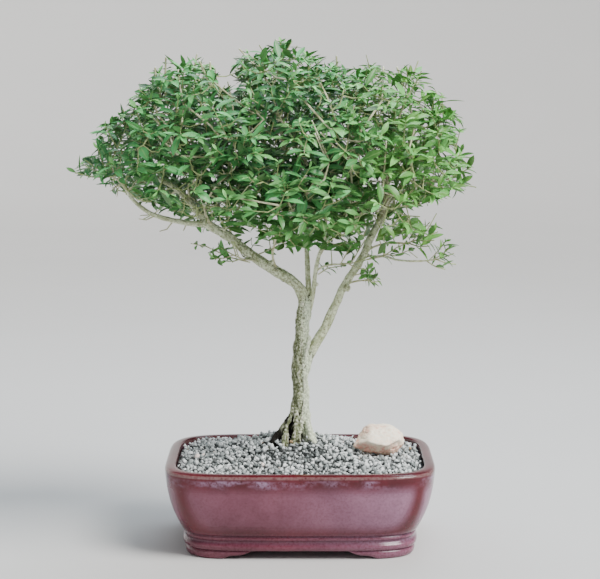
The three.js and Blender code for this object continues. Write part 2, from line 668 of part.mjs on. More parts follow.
// The trunk's foot: it flutes out into surface roots, which go down through the grit as straight lobes
function trunkFoot(swell) {
  const rings = FOOT_PROFILE.map(([z, reach, flutes, lean], row) =>
    Array.from({ length: FOOT_POINTS }, (_, k) => {
      const turn = (2 * Math.PI * k) / FOOT_POINTS;
      const lobe = Math.cos(ROOTS * turn + 0.5 * Math.sin(2 * turn));
      const uneven = 1 + 0.1 * Math.cos(2 * turn + 2.6);
      const r = reach * uneven + flutes * lobe + swell;
      const height = row === 0 ? z - swell : z;
      return [TRUNK_FOOT[0] + lean + r * Math.cos(turn), TRUNK_FOOT[1] + r * Math.sin(turn), height];
    }),
  );
  return skin(rings);
}

function limbRod(name) {
  const limb = LIMBS[name];
  const path = limb.map((row) => row.slice(0, 3));
  const radii = limb.map((row) => row[3]);
  return rod(path, radii, LIMB_SIDES[name] || SLENDER_LIMB_SIDES);
}

// A branch, thicker the more sprays it carries, which ends square to meet its spray
function branchRod({ start, knee, end, load }) {
  const tangent = unit(minus(end, knee));
  const root = BRANCH_RADIUS * load ** (1 / BRANCH_EXPONENT);
  const shares = load === 1 ? [0, 0.5] : [0, 0.35, 0.7];
  const path = [...shares.map((t) => bezier(start, knee, end, t)), plus(end, tangent, -1.5), end];
  const radii = [...shares, 1, 1].map((t) => root + (BRANCH_RADIUS - root) * t);
  return rod(path, radii, Math.min(3 + Math.floor(load / 3), 5));
}

function makeTree(branches) {
  return union([trunkFoot(0), ...Object.keys(LIMBS).map(limbRod), ...branches.map(branchRod)]);
}

// The outline of a tuft of leaves round a shoot, turning left: it runs out and back along every leaf
function tuftOutline(root, leaves, direction) {
  const first = across(leaves[0].axis, direction);
  const second = cross(direction, first);
  const turnOf = (leaf) => Math.atan2(dot(leaf.axis, second), dot(leaf.axis, first));
  const ordered = leaves.slice().sort((a, b) => turnOf(a) - turnOf(b));
  return ordered.flatMap((leaf, i) => {
    const side = unit(cross(direction, leaf.axis));
    const face = cross(leaf.axis, side);
    const wide = (LEAF_WIDTH_SHARE * leaf.length) / 2;
    const at = (share, out, rise) =>
      plus(plus(plus(root, leaf.axis, share * leaf.length), side, out * wide), face, rise * LEAF_RIB);
    const before = turnOf(ordered[(i + leaves.length - 1) % leaves.length]);
    const here = turnOf(leaf);
    const between = (before + here) / 2 + (before >= here ? Math.PI : 0);
    const ahead = plus(times(first, Math.cos(between)), second, Math.sin(between));
    return [plus(root, ahead, NOTCH_RADIUS), at(0.46, -1, 0.25), at(1, 0, -0.3), at(0.46, 1, 0.25)];
  });
}

// A shoot that ends in a tuft of leaves, as one closed surface: the twig's last ring opens out into them
function leafyShoot(path, radii, leaves) {
  const sides = 3;
  const direction = unit(minus(path[path.length - 1], path[path.length - 2]));
  const rings = ringsAlong(path, radii, sides);
  const root = plus(path[path.length - 1], direction, LEAF_RIB / 2);
  const outline = tuftOutline(root, leaves, direction);
  const first = across(leaves[0].axis, direction);
  const second = cross(direction, first);
  const turnOf = (p) => Math.atan2(dot(minus(p, root), second), dot(minus(p, root), first));
  const outlineStart = rings.length * sides;
  const apex = outlineStart + outline.length;
  const index = [
    ...cap(0, sides, true),
    ...wall(rings.length, sides),
    ...bridge(outline.map(turnOf), outlineStart, rings[rings.length - 1].map(turnOf), outlineStart - sides),
  ];
  outline.forEach((_, i) => index.push(outlineStart + i, outlineStart + ((i + 1) % outline.length), apex));
  return closed([...rings.flat(), ...outline, plus(root, direction, LEAF_RIB / 2)], index);
}

// Whether a leaf keeps clear of all that isn't on its own shoot; of its own spray it may brush a little
function isLeafClear(leaf, root, shoot, spray, taken) {
  const from = plus(root, leaf.axis, 2);
  const to = plus(root, leaf.axis, leaf.length);
  const half = (LEAF_WIDTH_SHARE * leaf.length) / 2;
  return taken.every((t) => {
    if (t.shoot === shoot) return true;
    const room = t.owner === spray ? -0.4 : 0.8;
    return segmentGap(from, to, t.a, t.b) > half + t.radius + room;
  });
}

// One leafy spray: its shoots, with the leaves that are clear of their neighbours in a tuft at each end
function makeSpray(spray, taken) {
  const pieces = [];
  for (const shoot of spray.shoots.slice(0, SOLID_SHOOTS)) {
    const isMain = shoot.number === 0;
    const direction = unit(minus(shoot.tip, shoot.knee));
    const end = plus(shoot.tip, direction, -LEAF_RIB);
    const seat = isMain ? [plus(spray.at, spray.tangent, CLEARANCE)] : [];
    const path = [...seat, shoot.from, shoot.knee, end];
    const thick = isMain ? TWIG_RADIUS : 0.85 * TWIG_RADIUS;
    const radii = [...seat.map(() => thick), thick, 0.9 * thick, 0.75 * thick];
    const solidLeaves = shoot.leaves.filter((leaf) => leaf.pair < SOLID_PAIRS);
    const clear = solidLeaves.filter((leaf) => isLeafClear(leaf, end, shoot, spray, taken));
    if (!clear.length) continue;
    pieces.push(leafyShoot(path, radii, clear));
    for (const leaf of clear) {
      const radius = (LEAF_WIDTH_SHARE * leaf.length) / 2;
      taken.push({ a: end, b: plus(end, leaf.axis, leaf.length), radius, owner: spray, shoot });
    }
  }
  return union(pieces);
}

const finishes = {
  glaze: new THREE.MeshStandardMaterial({ color: 0x5a1622, roughness: 0.2, metalness: 0 }),
  soil: new THREE.MeshStandardMaterial({ color: 0x4a3a2c, roughness: 0.95, metalness: 0 }),
  grit: new THREE.MeshStandardMaterial({ color: 0x9ba3a0, roughness: 0.9, metalness: 0 }),
  stone: new THREE.MeshStandardMaterial({ color: 0xe9d3c4, roughness: 0.8, metalness: 0 }),
  plastic: new THREE.MeshStandardMaterial({ color: 0x22282a, roughness: 0.6, metalness: 0 }),
  bark: new THREE.MeshStandardMaterial({ color: 0xa79d7c, roughness: 0.85, metalness: 0 }),
  leaf: new THREE.MeshStandardMaterial({ color: 0x4c8a38, roughness: 0.5, metalness: 0 }),
};

const bonsai = new THREE.Group();
bonsai.name = "serissa_bonsai";

function addMesh(name, solid, finish) {
  const mesh = new THREE.Mesh(geometryOf(solid), finish);
  mesh.name = name;
  bonsai.add(mesh);
}

const crown = growCrown();
const treeHole = trunkFoot(CLEARANCE + 0.1);
addMesh("pot", makePot(), finishes.glaze);
addMesh("drain_mesh_left", makeDrainMesh(-DRAIN_OFFSET), finishes.plastic);
addMesh("drain_mesh_right", makeDrainMesh(DRAIN_OFFSET), finishes.plastic);
addMesh("soil", makeSoil(treeHole), finishes.soil);
addMesh("gravel", makeGravel(treeHole, makeStone(CLEARANCE)), finishes.grit);
addMesh("stone", makeStone(0), finishes.stone);
addMesh("tree_wood", makeTree(crown.branches), finishes.bark);
crown.sprays.forEach((spray, i) => {
  addMesh(`leafy_spray_${String(i + 1).padStart(2, "0")}`, makeSpray(spray, crown.taken), finishes.leaf);
});

// The origin is under the middle of the whole, on the ground
const box = new THREE.Box3().setFromObject(bonsai);
const middle = box.getCenter(new THREE.Vector3());
bonsai.position.set(-middle.x, -middle.y, -box.min.z);

export default bonsai;
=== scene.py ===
# A serissa bonsai in its pot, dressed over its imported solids: leaves, twigs, bark, grit, stone and glaze.
# Lengths are millimetres in the pot's own frame, whose origin lies under its middle, until a mesh is made.
import json
import math

import bmesh
import bpy
import numpy as np
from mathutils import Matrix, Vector, noise

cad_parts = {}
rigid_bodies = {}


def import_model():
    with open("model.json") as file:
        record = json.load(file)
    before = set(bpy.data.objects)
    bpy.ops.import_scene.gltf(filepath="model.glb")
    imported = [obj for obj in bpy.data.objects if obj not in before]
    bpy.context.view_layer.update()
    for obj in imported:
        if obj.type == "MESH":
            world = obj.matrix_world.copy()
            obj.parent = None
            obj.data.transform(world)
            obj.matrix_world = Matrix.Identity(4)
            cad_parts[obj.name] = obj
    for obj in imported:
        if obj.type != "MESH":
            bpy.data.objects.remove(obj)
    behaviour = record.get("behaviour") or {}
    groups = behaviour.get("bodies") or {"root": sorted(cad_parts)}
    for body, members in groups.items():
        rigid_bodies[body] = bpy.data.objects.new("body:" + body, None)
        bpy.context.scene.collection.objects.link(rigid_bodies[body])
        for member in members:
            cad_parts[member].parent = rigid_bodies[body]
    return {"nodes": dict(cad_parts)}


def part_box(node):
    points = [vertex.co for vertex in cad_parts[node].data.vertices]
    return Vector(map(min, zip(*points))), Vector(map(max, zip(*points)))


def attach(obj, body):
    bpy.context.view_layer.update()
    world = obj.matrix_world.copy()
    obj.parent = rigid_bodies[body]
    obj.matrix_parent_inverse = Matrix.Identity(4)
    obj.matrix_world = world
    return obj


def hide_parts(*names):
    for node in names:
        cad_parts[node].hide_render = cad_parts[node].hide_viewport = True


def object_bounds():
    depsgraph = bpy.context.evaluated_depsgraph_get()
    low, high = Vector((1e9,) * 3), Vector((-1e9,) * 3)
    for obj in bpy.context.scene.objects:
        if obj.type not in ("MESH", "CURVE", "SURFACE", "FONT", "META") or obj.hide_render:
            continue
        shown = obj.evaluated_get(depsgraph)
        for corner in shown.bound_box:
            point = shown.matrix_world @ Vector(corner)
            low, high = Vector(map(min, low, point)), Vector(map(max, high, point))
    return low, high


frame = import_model()
cad_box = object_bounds()

MM = 0.001
BODY = "root"
pot_low, pot_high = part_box("pot")
# Where the pot's middle stands in the frame, in metres
SHIFT = np.array([(pot_low.x + pot_high.x) / 2, (pot_low.y + pot_high.y) / 2, pot_low.z])
BOX_LOW = (np.array(cad_box[0]) - SHIFT) / MM
BOX_HIGH = (np.array(cad_box[1]) - SHIFT) / MM
BOX_MARGIN = 2.5  # how far a leaf may stand out of the solids' box

# Driving dimensions of the pot
POT_LENGTH = (pot_high.x - pot_low.x) / MM
POT_DEPTH = (pot_high.y - pot_low.y) / MM
POT_HEIGHT = 83  # to the top of the rim
FOOT_HEIGHT = 8
FOOT_THICKNESS = 16
FLOOR_TOP = 16
SQUARENESS = 5.2  # the plan's exponent: the higher, the tighter its corners
PLAN_POINTS = 288
PROFILE_STEPS = 3  # between the points of a profile
# Each row: inset from the plan at the rim, and height
FOOT_ROWS = [[20.5, 0], [19.3, 0.5], [18.2, 2], [17.6, 5], [18.3, 7]]
OUTER_PROFILE = [
    [19, FOOT_HEIGHT], [17.4, 8.9], [16.5, 10.2], [16.2, 11.6], [16.4, 13.2], [17.5, 14.8], [18.3, 16],
    [18.1, 17.4], [17.2, 18.6], [16.9, 20], [17.2, 21], [17.5, 21.7], [16.8, 22.6], [15.2, 23.8],
    [10.6, 33], [6.2, 44], [3.2, 55], [1.3, 66], [0.2, 75], [0, 78.4], [0.1, 80], [0.7, 81.1], [2.2, 82.1],
    [4.5, 82.8], [7.4, POT_HEIGHT], [9.2, 82.7], [10, 81.8], [10.2, 80.4],
]
INNER_PROFILE = [[10.2, 76], [12, 60], [16.5, 44], [25, 25], [32, FLOOR_TOP]]
# Between two feet, how far from the middle the foot stands, its lobe ends and the arch is full
FRONT_ARCH = [72, 61, 45]
SIDE_ARCH = [51, 42, 27]
LOBE_HEIGHT = 3.4
DRAIN_RADIUS = 9
DRAIN_OFFSET = 62
DRAIN_SIDES = 48
DRAIN_CUT = [2, 22]  # from under the floor to over it

# Driving dimensions of the grit and the stone
GRIT_EDGE = 78.8
# Each heap: height, x and y of its top, and how far it spreads each way
GRIT_HEAPS = [[3.6, -2.4, 5, 98, 78], [17, -2, 1.5, 38, 34], [10.5, -9, 42, 54, 24]]
GRIT_ROOM = 11.8  # from the rim's plan to the middle of the outermost grains
GRAIN_SPACING = 5.1
GRAIN_SIZE = [4.4, 7.6]
GRAIN_LAYERS = [[-2.6, 0.35], [0.9, 1]]  # each layer's lift, and how little painted shade its grains get; the lower layer lies in the gaps
GRAIN_SHAPES = 24
GRAIN_FLATNESS = np.array([1, 0.85, 0.72])
GRAIN_STRAY = [-1.5, 1.5]  # how far a grain may lie from its place
GRAIN_UNEVENNESS = 0.95  # how much the grains' heights differ
LAYER_OFFSET = [0.37, 0.41]  # of the second layer to the first, as shares of the grains' spacing
SMALL_GRAINS = 1.6  # the larger, the more grains are small
BED_DEPTH = 2.6
BED_POINTS = [118, 92]  # along the pot and across it
STONE_CENTRE = [77.5, 4.4, 95.8]
STONE_HALF = [23.6, 19, 16.4]
# The stone's faces: which way each looks and how far out it lies, with a ledge low on the left
STONE_FACES = [
    [[0.04, -0.85, 1], 0.87], [[0.02, 0.05, 1], 0.88], [[0, 0.7, 0.8], 0.9], [[-0.82, -0.34, 0.55], 0.91],
    [[-0.85, 0.25, 0.53], 0.93], [[0.72, -0.3, 0.7], 0.9], [[0.72, 0.3, 0.62], 0.88],
    [[-1, 0.2, 0.1], 0.92], [[1, -0.2, 0.1], 0.93], [[0.95, 0.3, -0.1], 0.9], [[0.8, -0.1, -0.6], 0.94],
    [[-0.5, -0.8, -0.7], 0.92], [[0.25, -0.8, -0.8], 1], [[0.85, -0.6, -0.4], 0.93],
    [[-0.2, -0.5, -1], 0.9], [[0.3, 0.2, -1], 0.95], [[0.1, 1, 0], 0.95], [[-0.7, 0.3, -0.7], 0.86],
]
STONE_SHARPNESS = 26  # the higher, the sharper the edges between its faces
STONE_CORE = 0.86  # the share of the stone's half size that grains keep out of
STONE_LEDGE = [-0.9, -0.42, -0.22]

# Driving dimensions of the trunk's foot and its surface roots, each root as rows of x, y, z and radius
FOOT_CORE = [
    [0.6, 6.4, 80, 7], [0.6, 6.2, 92, 6.6], [0.3, 5.8, 104, 6.5], [0.2, 5, 119, 7.4], [1.2, 5, 132, 7.7],
]
ROOTS = [
    [[-2.6, 4, 140, 3], [-5.6, 2.6, 129, 2.4], [-8.8, -0.4, 119, 2], [-11.8, -4.8, 111, 2.1],
     [-13.4, -8.8, 103, 2.5], [-14.2, -12, 95, 2.9], [-14.6, -14.4, 84, 3.2]],
    [[-1.4, 2, 136, 2.6], [-2.8, -1.2, 125, 2.2], [-3.4, -4, 117, 2.1], [-4.3, -7.2, 109, 1.9],
     [-5.2, -9.8, 100, 2.3], [-6.6, -12, 84, 2.9]],
    [[9, 4.2, 178, 4.4], [4.8, 1.8, 164, 4.3], [3, 0.8, 149, 4.2], [3.4, 0.6, 135, 3.7], [3, -2.2, 124, 3],
     [1.6, -5, 114, 2.4], [-0.4, -8, 103, 2.3], [-1.2, -10, 84, 2.8]],
    [[4.6, 4, 138, 3.6], [6, 1.6, 127, 3.4], [6.6, -0.6, 118, 3.2], [7.2, -3, 109, 3.1], [9.4, -5, 102, 3],
     [13.6, -6.6, 95, 2.7], [16, -8, 84, 2.5]],
    [[3.6, 6, 128, 3.4], [7, 8, 108, 3.6], [12, 11, 97, 3], [15, 14, 86, 2.5]],
    [[-1, 8.6, 128, 3.4], [-2, 13, 107, 3.4], [-3, 17, 96, 3], [-4, 19, 85, 2.4]],
    [[-4, 6, 126, 2.8], [-9, 4, 117, 3.2], [-14.5, 1.6, 108, 3.8], [-20, -1, 100, 4.6],
     [-24.6, -3.6, 94, 4.4], [-28, -6, 84, 3.6]],
    [[-3, 6, 130, 3.4], [-6, 5, 116, 3.8], [-8.4, 4, 104, 4.6], [-10, 3, 84, 5.4]],
    [[5, 3, 118, 3.2], [5.2, 0, 106, 3.8], [5.2, -1.6, 84, 4.2]],
]
# The torn bark in the crotch of the right limb
TORN_BARK = [[1.6, -0.4, 166, 2.2], [4.6, -0.2, 175, 2.8], [6.9, -0.6, 185, 1.8], [10, -0.8, 197, 1]]
# Painted shade, near black, in hollows and over a root at the foot: x, y, z and how far the dark reaches
SHADED_HOLLOWS = [[-9.4, 5, 114, 8], [-10, 3, 101, 9], [-23, 0, 97, 13], [4, -1.4, 101, 3.4]]
# The bark: the heights of its forms, and how rough it is on each limb that has its own
LUMP_HEIGHT = 1.4
FURROW_DEPTH = 1
FLAKE_HEIGHT = 0.75
GRAIN_STRETCH = 0.11  # the bark's pattern along the wood, against that across it
LIMB_ROUGHNESS = {"trunk": 1, "left": 0.52, "left_low": 0.7, "left_high": 0.5}
OTHER_ROUGHNESS = 0.42
HOLLOW_STEPS = 5  # how far round a point the skin is compared with it
BLEND_STEPS = 60  # how far a limb's roughness runs on into the next

# Driving dimensions of the crown's envelope and its growth, which repeat those of the solids
HEART = np.array([-22.0, 6.0, 340.0])
REACH_LEFT = 187
REACH_RIGHT = 185
REACH_DEPTH = 130
REACH_UP = 138
REACH_DOWN_LEFT = 44
REACH_DOWN_RIGHT = 62
CROWN_LOW = HEART - [REACH_LEFT, REACH_DEPTH, REACH_DOWN_RIGHT]
CROWN_HIGH = HEART + [REACH_RIGHT, REACH_DEPTH, REACH_UP]
BOXINESS = 0.3
SHELL = [0.48, 0.7]  # how far out the sprays of the crown's shell start, as shares of its reach
INSIDE = [0.15, 0.45]  # the same for the sprays inside it
TIP_REACH = 0.97
SHELL_SPRAYS = 22
INSIDE_SPRAYS = 3
CANDIDATES = 60
SEED = 20933
FORK_HEIGHT = 220
FIRST_GROWN = np.array([0.0, 6.0, 300.0])
BRANCH_RADIUS = 0.98
BRANCH_EXPONENT = 2.4
BRANCH_ROOM = 1.5
SHORTEST_BRANCH = 9
BRANCH_KNEE = 0.45  # how far along a branch its knee lies
BRANCH_LEAN = 1.1  # how much the knee leans to the branch's end
CARRYING_SHARES = [0.35, 0.6, 0.8]  # where along a branch others may leave from it
WAY_COST = 0.3  # how much a long way to the fork counts against a station
TURN_COST = 0.8  # how much a sharp bend counts
TWIG_RADIUS = 0.85
SHOOTS_PER_SPRAY = 5
SHOOT_ATTEMPTS = 16
SHOOT_ROOT = 2.6
MAIN_SHOOT = 40
SIDE_SHOOT = 30
SHOOT_VARIATION = 11
SHOOT_ROOM = 1.7
LEAF_LENGTH = 15.5
LEAF_WIDTH_SHARE = 0.32
LEAF_PAIRS = 6
LEAF_PAIR_STEP = 4.6

# Driving dimensions of the finer growth, which the solids don't have
SIDE_TWIGS = 1  # on each shoot of a full-sized spray
SIDE_TWIG_LENGTH = [10, 22]
SIDE_TWIG_PLACES = [0.15, 0.9]  # along a shoot
BRANCH_TWIGS = 2  # on each branch
BRANCH_TWIG_PLACES = [0.45, 0.98]  # along a branch
FULL_SPRAY = 0.85  # the least size of a spray that has side twigs
TWIG_REACH = 1.02  # how far side twigs reach, as a share of the crown's
# For each pair of leaves from a twig's tip: how far below the tip, how long, and how much it leans to the tip
TUFT_PAIRS = [[0, 7.5, 1.4], [1.4, 14, 0.8], [3.6, 18, 0.5], [6.8, 19.5, 0.35], [11, 18, 0.3], [16, 16, 0.25]]
YOUNG_LEAF_LENGTH = [5, 9]
FILL_TRIES = 13000
FILL_ROOM = [14.5, 14]  # between the tips of twigs, in the crown's outer half and inner half
FILL_LENGTH = [9, 44]
FILL_PAIRS = [3, 6]
FILL_PAIR_STEP = 5  # the length of a filling twig for each pair of its leaves
FILL_SIZE = [0.85, 1.22]
FILL_PLACES = [0.25, 0.45, 0.65, 0.85]  # along a branch, where filling twigs may leave from
OUTER_HALF = 0.55  # where the crown's outer half starts, as a share of its reach
STRAY_LEAF = 11  # the longest leaf that may stand outside the crown's outline
FILL_EDGE = 7  # from a filling twig's tip to the crown's outline
BARE_TWIGS = 130
BARE_TWIG_PLACES = [0.1, 0.85]  # along a branch
BARE_TWIG_LENGTH = [12, 38]
BARE_TWIG_NODES = 4
BARE_TWIG_REACH = 0.95
STUB_LENGTH = 20
STUB_BEND = 1.2
STUB_DEPTH_COST = 0.08  # how much it counts against a place that it lies far back
STEM_BACK = 10  # how far back from its first seen place a pruned stem starts
STEM_LIFT_COST = 2  # how much it counts against a place that it lies above that
CUT_BEVEL = 1.2  # from the last full ring of a pruned stem to its cut
THIN_TWIG_LEAF = [9, 15]
THIN_TWIG_NODES = [0.55, 1]  # along each stretch of a thin twig
THIN_TWIG_FRESHNESS = 0.35
CUT_END_LEAF = [6, 12]
CUT_END_PAIRS = [[3, 1], [7, 0.7], [12, 0.3]]  # how far below the cut, and how young
LEAF_REACH = 0.7  # how far along a leaf the place lies that is held to the crown's outline
# Radii of thin wood, from its start to its tip
FINEST_TWIG = 0.34
LEAFY_TWIG_RADII = [0.66, 0.55, FINEST_TWIG]
THIN_TWIG_RADII = [0.8, 0.45]
BARE_TWIG_RADII = [0.65, FINEST_TWIG]
STEM_RADII = [0.95, 0.75]
SHOOT_TIP_RADIUS = 0.5
# The fineness of the wood: between rings, and round them
LIMB_STEP = 2.5
LIMB_SIDES = 14
KNOT_SIDES = 12
BRANCH_STEP = 4
BRANCH_SIDES = 9
SHOOT_STEP = 5
SHOOT_SIDES = 6
TWIG_SIDES = 5
BARK_VOXEL = 0.64
LEAF_THICKNESS = 0.3
LEAF_WIDTH_RANGE = [0.8, 1.2]
LEAF_BEND = [0.1, 0.95]  # how much a leaf bends down along its length, in radians
LEAF_FOLD = [0.12, 0.42]  # how far each half folds up, in radians
LEAF_TILT = 0.22  # how unevenly leaves face up
BENT_BACK = 0.1  # the share of leaves that bend up instead
LEAF_CHECKS = [0.12, 0.55, 1]  # the places along a leaf that are held to limbs, outline and box
LEAF_CLEARANCE = 0.6  # between a leaf and a limb
DEPTH_SHADE_BY_SHARE = [[0.5, 0.97], [0.1, 1.15]]  # painted shade: leaves are darker the deeper they lie in the crown
# Along a leaf from its stalk: share of the length, and share of the half width
LEAF_OUTLINE = [[0, 0.1], [0.1, 0.2], [0.25, 0.66], [0.45, 1], [0.66, 0.92], [0.85, 0.52]]
CLUMP = 13  # across the gaps between clumps of leaves
CLUMP_LIMIT = -0.36  # leaves grow where the clumps' noise is higher
# The crown's sparse places, as seen: x and z of the middle, half the width and half the height
THIN_PLACES = [
    [-6, 284, 66, 22], [-130, 388, 17, 24], [-66, 428, 14, 16], [62, 345, 16, 18], [70, 400, 14, 14],
]
THIN_LIMIT = -0.18
BARE_LIMBS = ["left", "left_low", "left_high", "right"]
BARE_ROOM = 2.2  # between a bare limb's side and the leaves before it, as seen

UP = np.array([0.0, 0.0, 1.0])
LEVELLED = np.array([1, 1, 0.34])  # leaves turn level

# The photograph's camera, in the pot's frame: 600 pixels wide, focal length 1974 pixels
CAMERA_PLACE = [0, -1857, 475.9]
CAMERA_DOWN = 7.2
FOCAL_SHARE = 1974 / 600

# The floor, in metres: flat out to its reach, then curving up
FLOOR_REACH = 3.4
FLOOR_BEND = 2.6  # how much further the curve reaches
FLOOR_RISE = 3.4
FLOOR_SIDES = 96

# The crown's outline as seen, as x and z in the upright plane through the pot's middle
CROWN_OUTLINE = [
    [-216, 355], [-194, 373], [-194, 389], [-188, 402], [-167, 409], [-163, 422], [-150, 431], [-140, 446],
    [-123, 459], [-97, 460], [-82, 452], [-76, 432], [-56, 430], [-66, 457], [-56, 467], [-35, 467],
    [-18, 478], [2, 470], [26, 459], [49, 454], [67, 457], [93, 452], [127, 444], [124, 430], [144, 424],
    [156, 408], [153, 375], [171, 357], [156, 336], [124, 322], [99, 317], [106, 309], [132, 301],
    [129, 290], [145, 288], [148, 268], [130, 262], [80, 263], [76, 245], [63, 241], [51, 256], [17, 252],
    [4, 279], [-17, 275], [-47, 262], [-70, 266], [-91, 273], [-105, 288], [-97, 294], [-111, 306],
    [-126, 315], [-151, 324], [-162, 332], [-190, 341],
]

# Thin twigs that show by themselves, as rows of x, y, z
THIN_TWIGS = [
    [[17, -4, 256], [26, -4, 262], [38, -4, 264], [49, -4, 268]],
    [[9, 4, 295], [14, 4, 300], [35, 4, 302], [69, 4, 303]],
    [[19, -12, 275], [29, -12, 293], [40, -12, 307], [47, -12, 312]],
    [[64, 16, 268], [79, 16, 271], [93, 16, 280], [105, 16, 285]],
    [[79, 12, 274], [90, 12, 272], [103, 12, 277], [112, 12, 270]],
    [[73, 18, 289], [88, 18, 297], [99, 18, 300]],
    [[-47, -8, 268], [-67, -8, 273], [-88, -8, 283], [-103, -8, 286]],
    [[-39, -2, 275], [-30, -2, 279], [-22, -2, 283]],
    [[-71, 4, 296], [-59, 4, 288], [-50, 4, 277]],
    [[50, 10, 253], [57, 10, 255], [63, 10, 252]],
    [[-118, -22, 309], [-124, -24, 301], [-131, -24, 299]],
    [[-134, -26, 314], [-143, -28, 310], [-150, -28, 311]],
    [[-106, -19, 306], [-109, -21, 299]],
]
# Pruned stems at the crown's front and top, as seen: each as rows of x and z up to its cut end
CUT_STEMS = [
    [[-109, 415], [-112, 431], [-114, 448]], [[-76, 387], [-84, 396], [-107, 415]],
    [[-133, 406], [-142, 430]], [[-117, 371], [-123, 388], [-140, 406]], [[-114, 368], [-135, 388]],
    [[-69, 427], [-88, 443]], [[-22, 441], [-45, 455], [-57, 468]], [[-34, 402], [-50, 418]],
    [[27, 394], [0, 424]], [[27, 365], [19, 383], [11, 401]], [[43, 366], [19, 390]],
    [[77, 420], [78, 451]], [[100, 422], [111, 437]], [[102, 372], [108, 396]], [[78, 334], [81, 382]],
    [[41, 383], [51, 415]], [[23, 346], [27, 360], [14, 389]], [[25, 424], [17, 440]],
    [[-58, 328], [-41, 349]], [[-132, 452]], [[-123, 461]], [[-99, 463]], [[-91, 458]], [[-81, 457]],
    [[-164, 408]], [[-155, 393]], [[-146, 387]], [[34, 462]], [[92, 451]], [[-22, 477]],
]
FRONT_SHARE = 0.88  # how far out in the crown its front stems and tufts stand
# Large fresh tufts at the crown's front, as seen: x and z of the tip, and a size
FRONT_TUFTS = [
    [-121, 359, 1.4], [-12, 341, 1.4], [90, 369, 1.2], [127, 359, 1.15], [127, 429, 1.1], [71, 428, 1.15],
    [-58, 402, 1.2], [-141, 351, 1.15], [29, 400, 1.3], [-30, 452, 1], [-84, 367, 1.2], [2, 457, 1],
    [-85, 309, 1], [150, 391, 1.15], [-180, 370, 1], [31, 346, 1.2], [-54, 332, 1.15], [99, 398, 1.2],
    [-163, 395, 1.1], [-104, 435, 1.1], [-6, 384, 1.2], [60, 356, 1.15], [-36, 371, 1.2], [-158, 362, 1.1],
    [-62, 286, 0.9], [-44, 284, 0.9], [-30, 294, 0.9], [-16, 289, 0.8], [-50, 304, 1], [27, 296, 0.8],
    [36, 306, 0.9], [52, 298, 0.8], [60, 318, 1], [-74, 296, 0.9], [10, 306, 0.8], [-6, 300, 0.9],
    [118, 386, 1.15], [56, 402, 1.1], [-124, 395, 1.1], [-158, 337, 0.9], [-140, 329, 0.8],
    [-118, 326, 0.8], [-18, 474, 0.8], [-98, 322, 0.8],
]
TUFT_FRESHNESS = 0.6
FRONT_TUFT_PAIRS = 4
TUFT_RISE = [0, -8, 14]  # from the wood to a tuft: forwards and up

# The limbs, as in the solids: each as rows of x, y, z and radius from its root to its tip
LIMBS = {
    "trunk": [
        [-2.4, 5, 84, 8], [-2, 5, 97, 8.2], [-1.2, 5, 108, 8.2], [0.2, 5, 119, 8.1], [1.2, 5, 132, 7.7],
        [0.8, 5, 146, 7.6], [-0.2, 5, 160, 7.2], [-0.6, 5, 172, 6.8], [1.1, 5, 193, 6.5],
        [2.9, 5, 210, 6.6], [4.6, 5, 222, 6.7], [6, 5, 231, 5.2],
    ],
    "left": [
        [5, 5, 224, 5.4], [2.4, 4.5, 236, 5.4], [-1.5, 4, 243.5, 5.3], [-9, 3, 250, 5.2],
        [-19, 1, 256.5, 5.1], [-34, -2, 266, 5], [-50.6, -5, 278.5, 4.8], [-64.5, -8, 290.5, 4.6],
        [-80.5, -11, 300.5, 4.3], [-91, -13, 306.5, 3.8],
    ],
    "left_low": [
        [-88, -12.5, 305.5, 3], [-100, -17, 305.6, 2.6], [-113, -21, 308, 2.4], [-129, -25, 312, 2.2],
        [-142, -28, 318, 2], [-154, -31, 328, 1.8], [-160, -33, 337, 1.5],
    ],
    "left_high": [
        [-88, -12, 305, 3.6], [-94, -10, 314, 3.3], [-103, -6, 324, 3], [-113, -1, 334, 2.6],
        [-123, 5, 340.5, 2.3], [-134, 11, 345, 1.9],
    ],
    "right": [
        [1, 5, 156, 5], [5, 5.5, 168, 5.1], [11, 6, 181.5, 4.9], [18.4, 7, 194, 4.7],
        [25.6, 8.5, 207.5, 4.5], [31.7, 10, 221, 4.2], [37, 11.5, 232, 4], [41.6, 13, 242, 4],
        [47.6, 14.5, 252, 3.9], [55, 16, 263, 3.8], [62, 18, 275, 3.7], [67.2, 20, 288.5, 3.6],
        [75.6, 22, 303.5, 3.5], [82, 24, 318, 3.4], [83.6, 25, 326, 2.9],
    ],
    "right_high": [
        [82, 24, 319, 2.5], [82, 27, 332, 2.3], [84, 31, 346, 2.1], [93, 33, 361, 2], [104, 34, 377, 1.8],
        [109, 34, 390, 1.6], [107, 33, 403, 1.3],
    ],
    "stem_back": [
        [6, 6, 222, 3], [8.1, 7, 236, 2.8], [7.4, 9, 258, 2.6], [6.4, 13, 279, 2.4], [5.6, 18, 297, 2.2],
        [4, 26, 316, 2], [-2, 36, 334, 1.8],
    ],
    "stem_front": [
        [9, 4, 220, 2.6], [12.3, 3, 236, 2.2], [14.7, 0, 258, 2], [18, -4, 274.5, 1.9],
        [22.8, -10, 285.5, 1.7], [31, -17, 296.5, 1.6], [40, -24, 306, 1.4],
    ],
    "low_right": [
        [61, 18, 273, 1.5], [70, 20, 270.5, 1.3], [81, 22, 270.5, 1.2], [92, 24, 267, 1.1],
        [104, 26, 265.5, 1],
    ],
}
LOWEST_BRANCH = {
    "trunk": math.inf, "left": 255, "left_low": 307, "left_high": 313, "right": 240, "right_high": 330,
    "stem_back": 255, "stem_front": 255, "low_right": 262,
}
# Swellings and cut knots on the limbs: x, y, z and radius
KNOTS = [
    [44, 10, 242, 4.5], [16.4, 1, 246, 1.7], [-26, -4, 268, 2.6], [68, 17, 290, 2.4], [1, -1, 228, 2.6],
    [-72, -12, 300, 2.6], [6.6, 4, 227, 4.2], [8.6, 3.8, 232, 3.4],
]

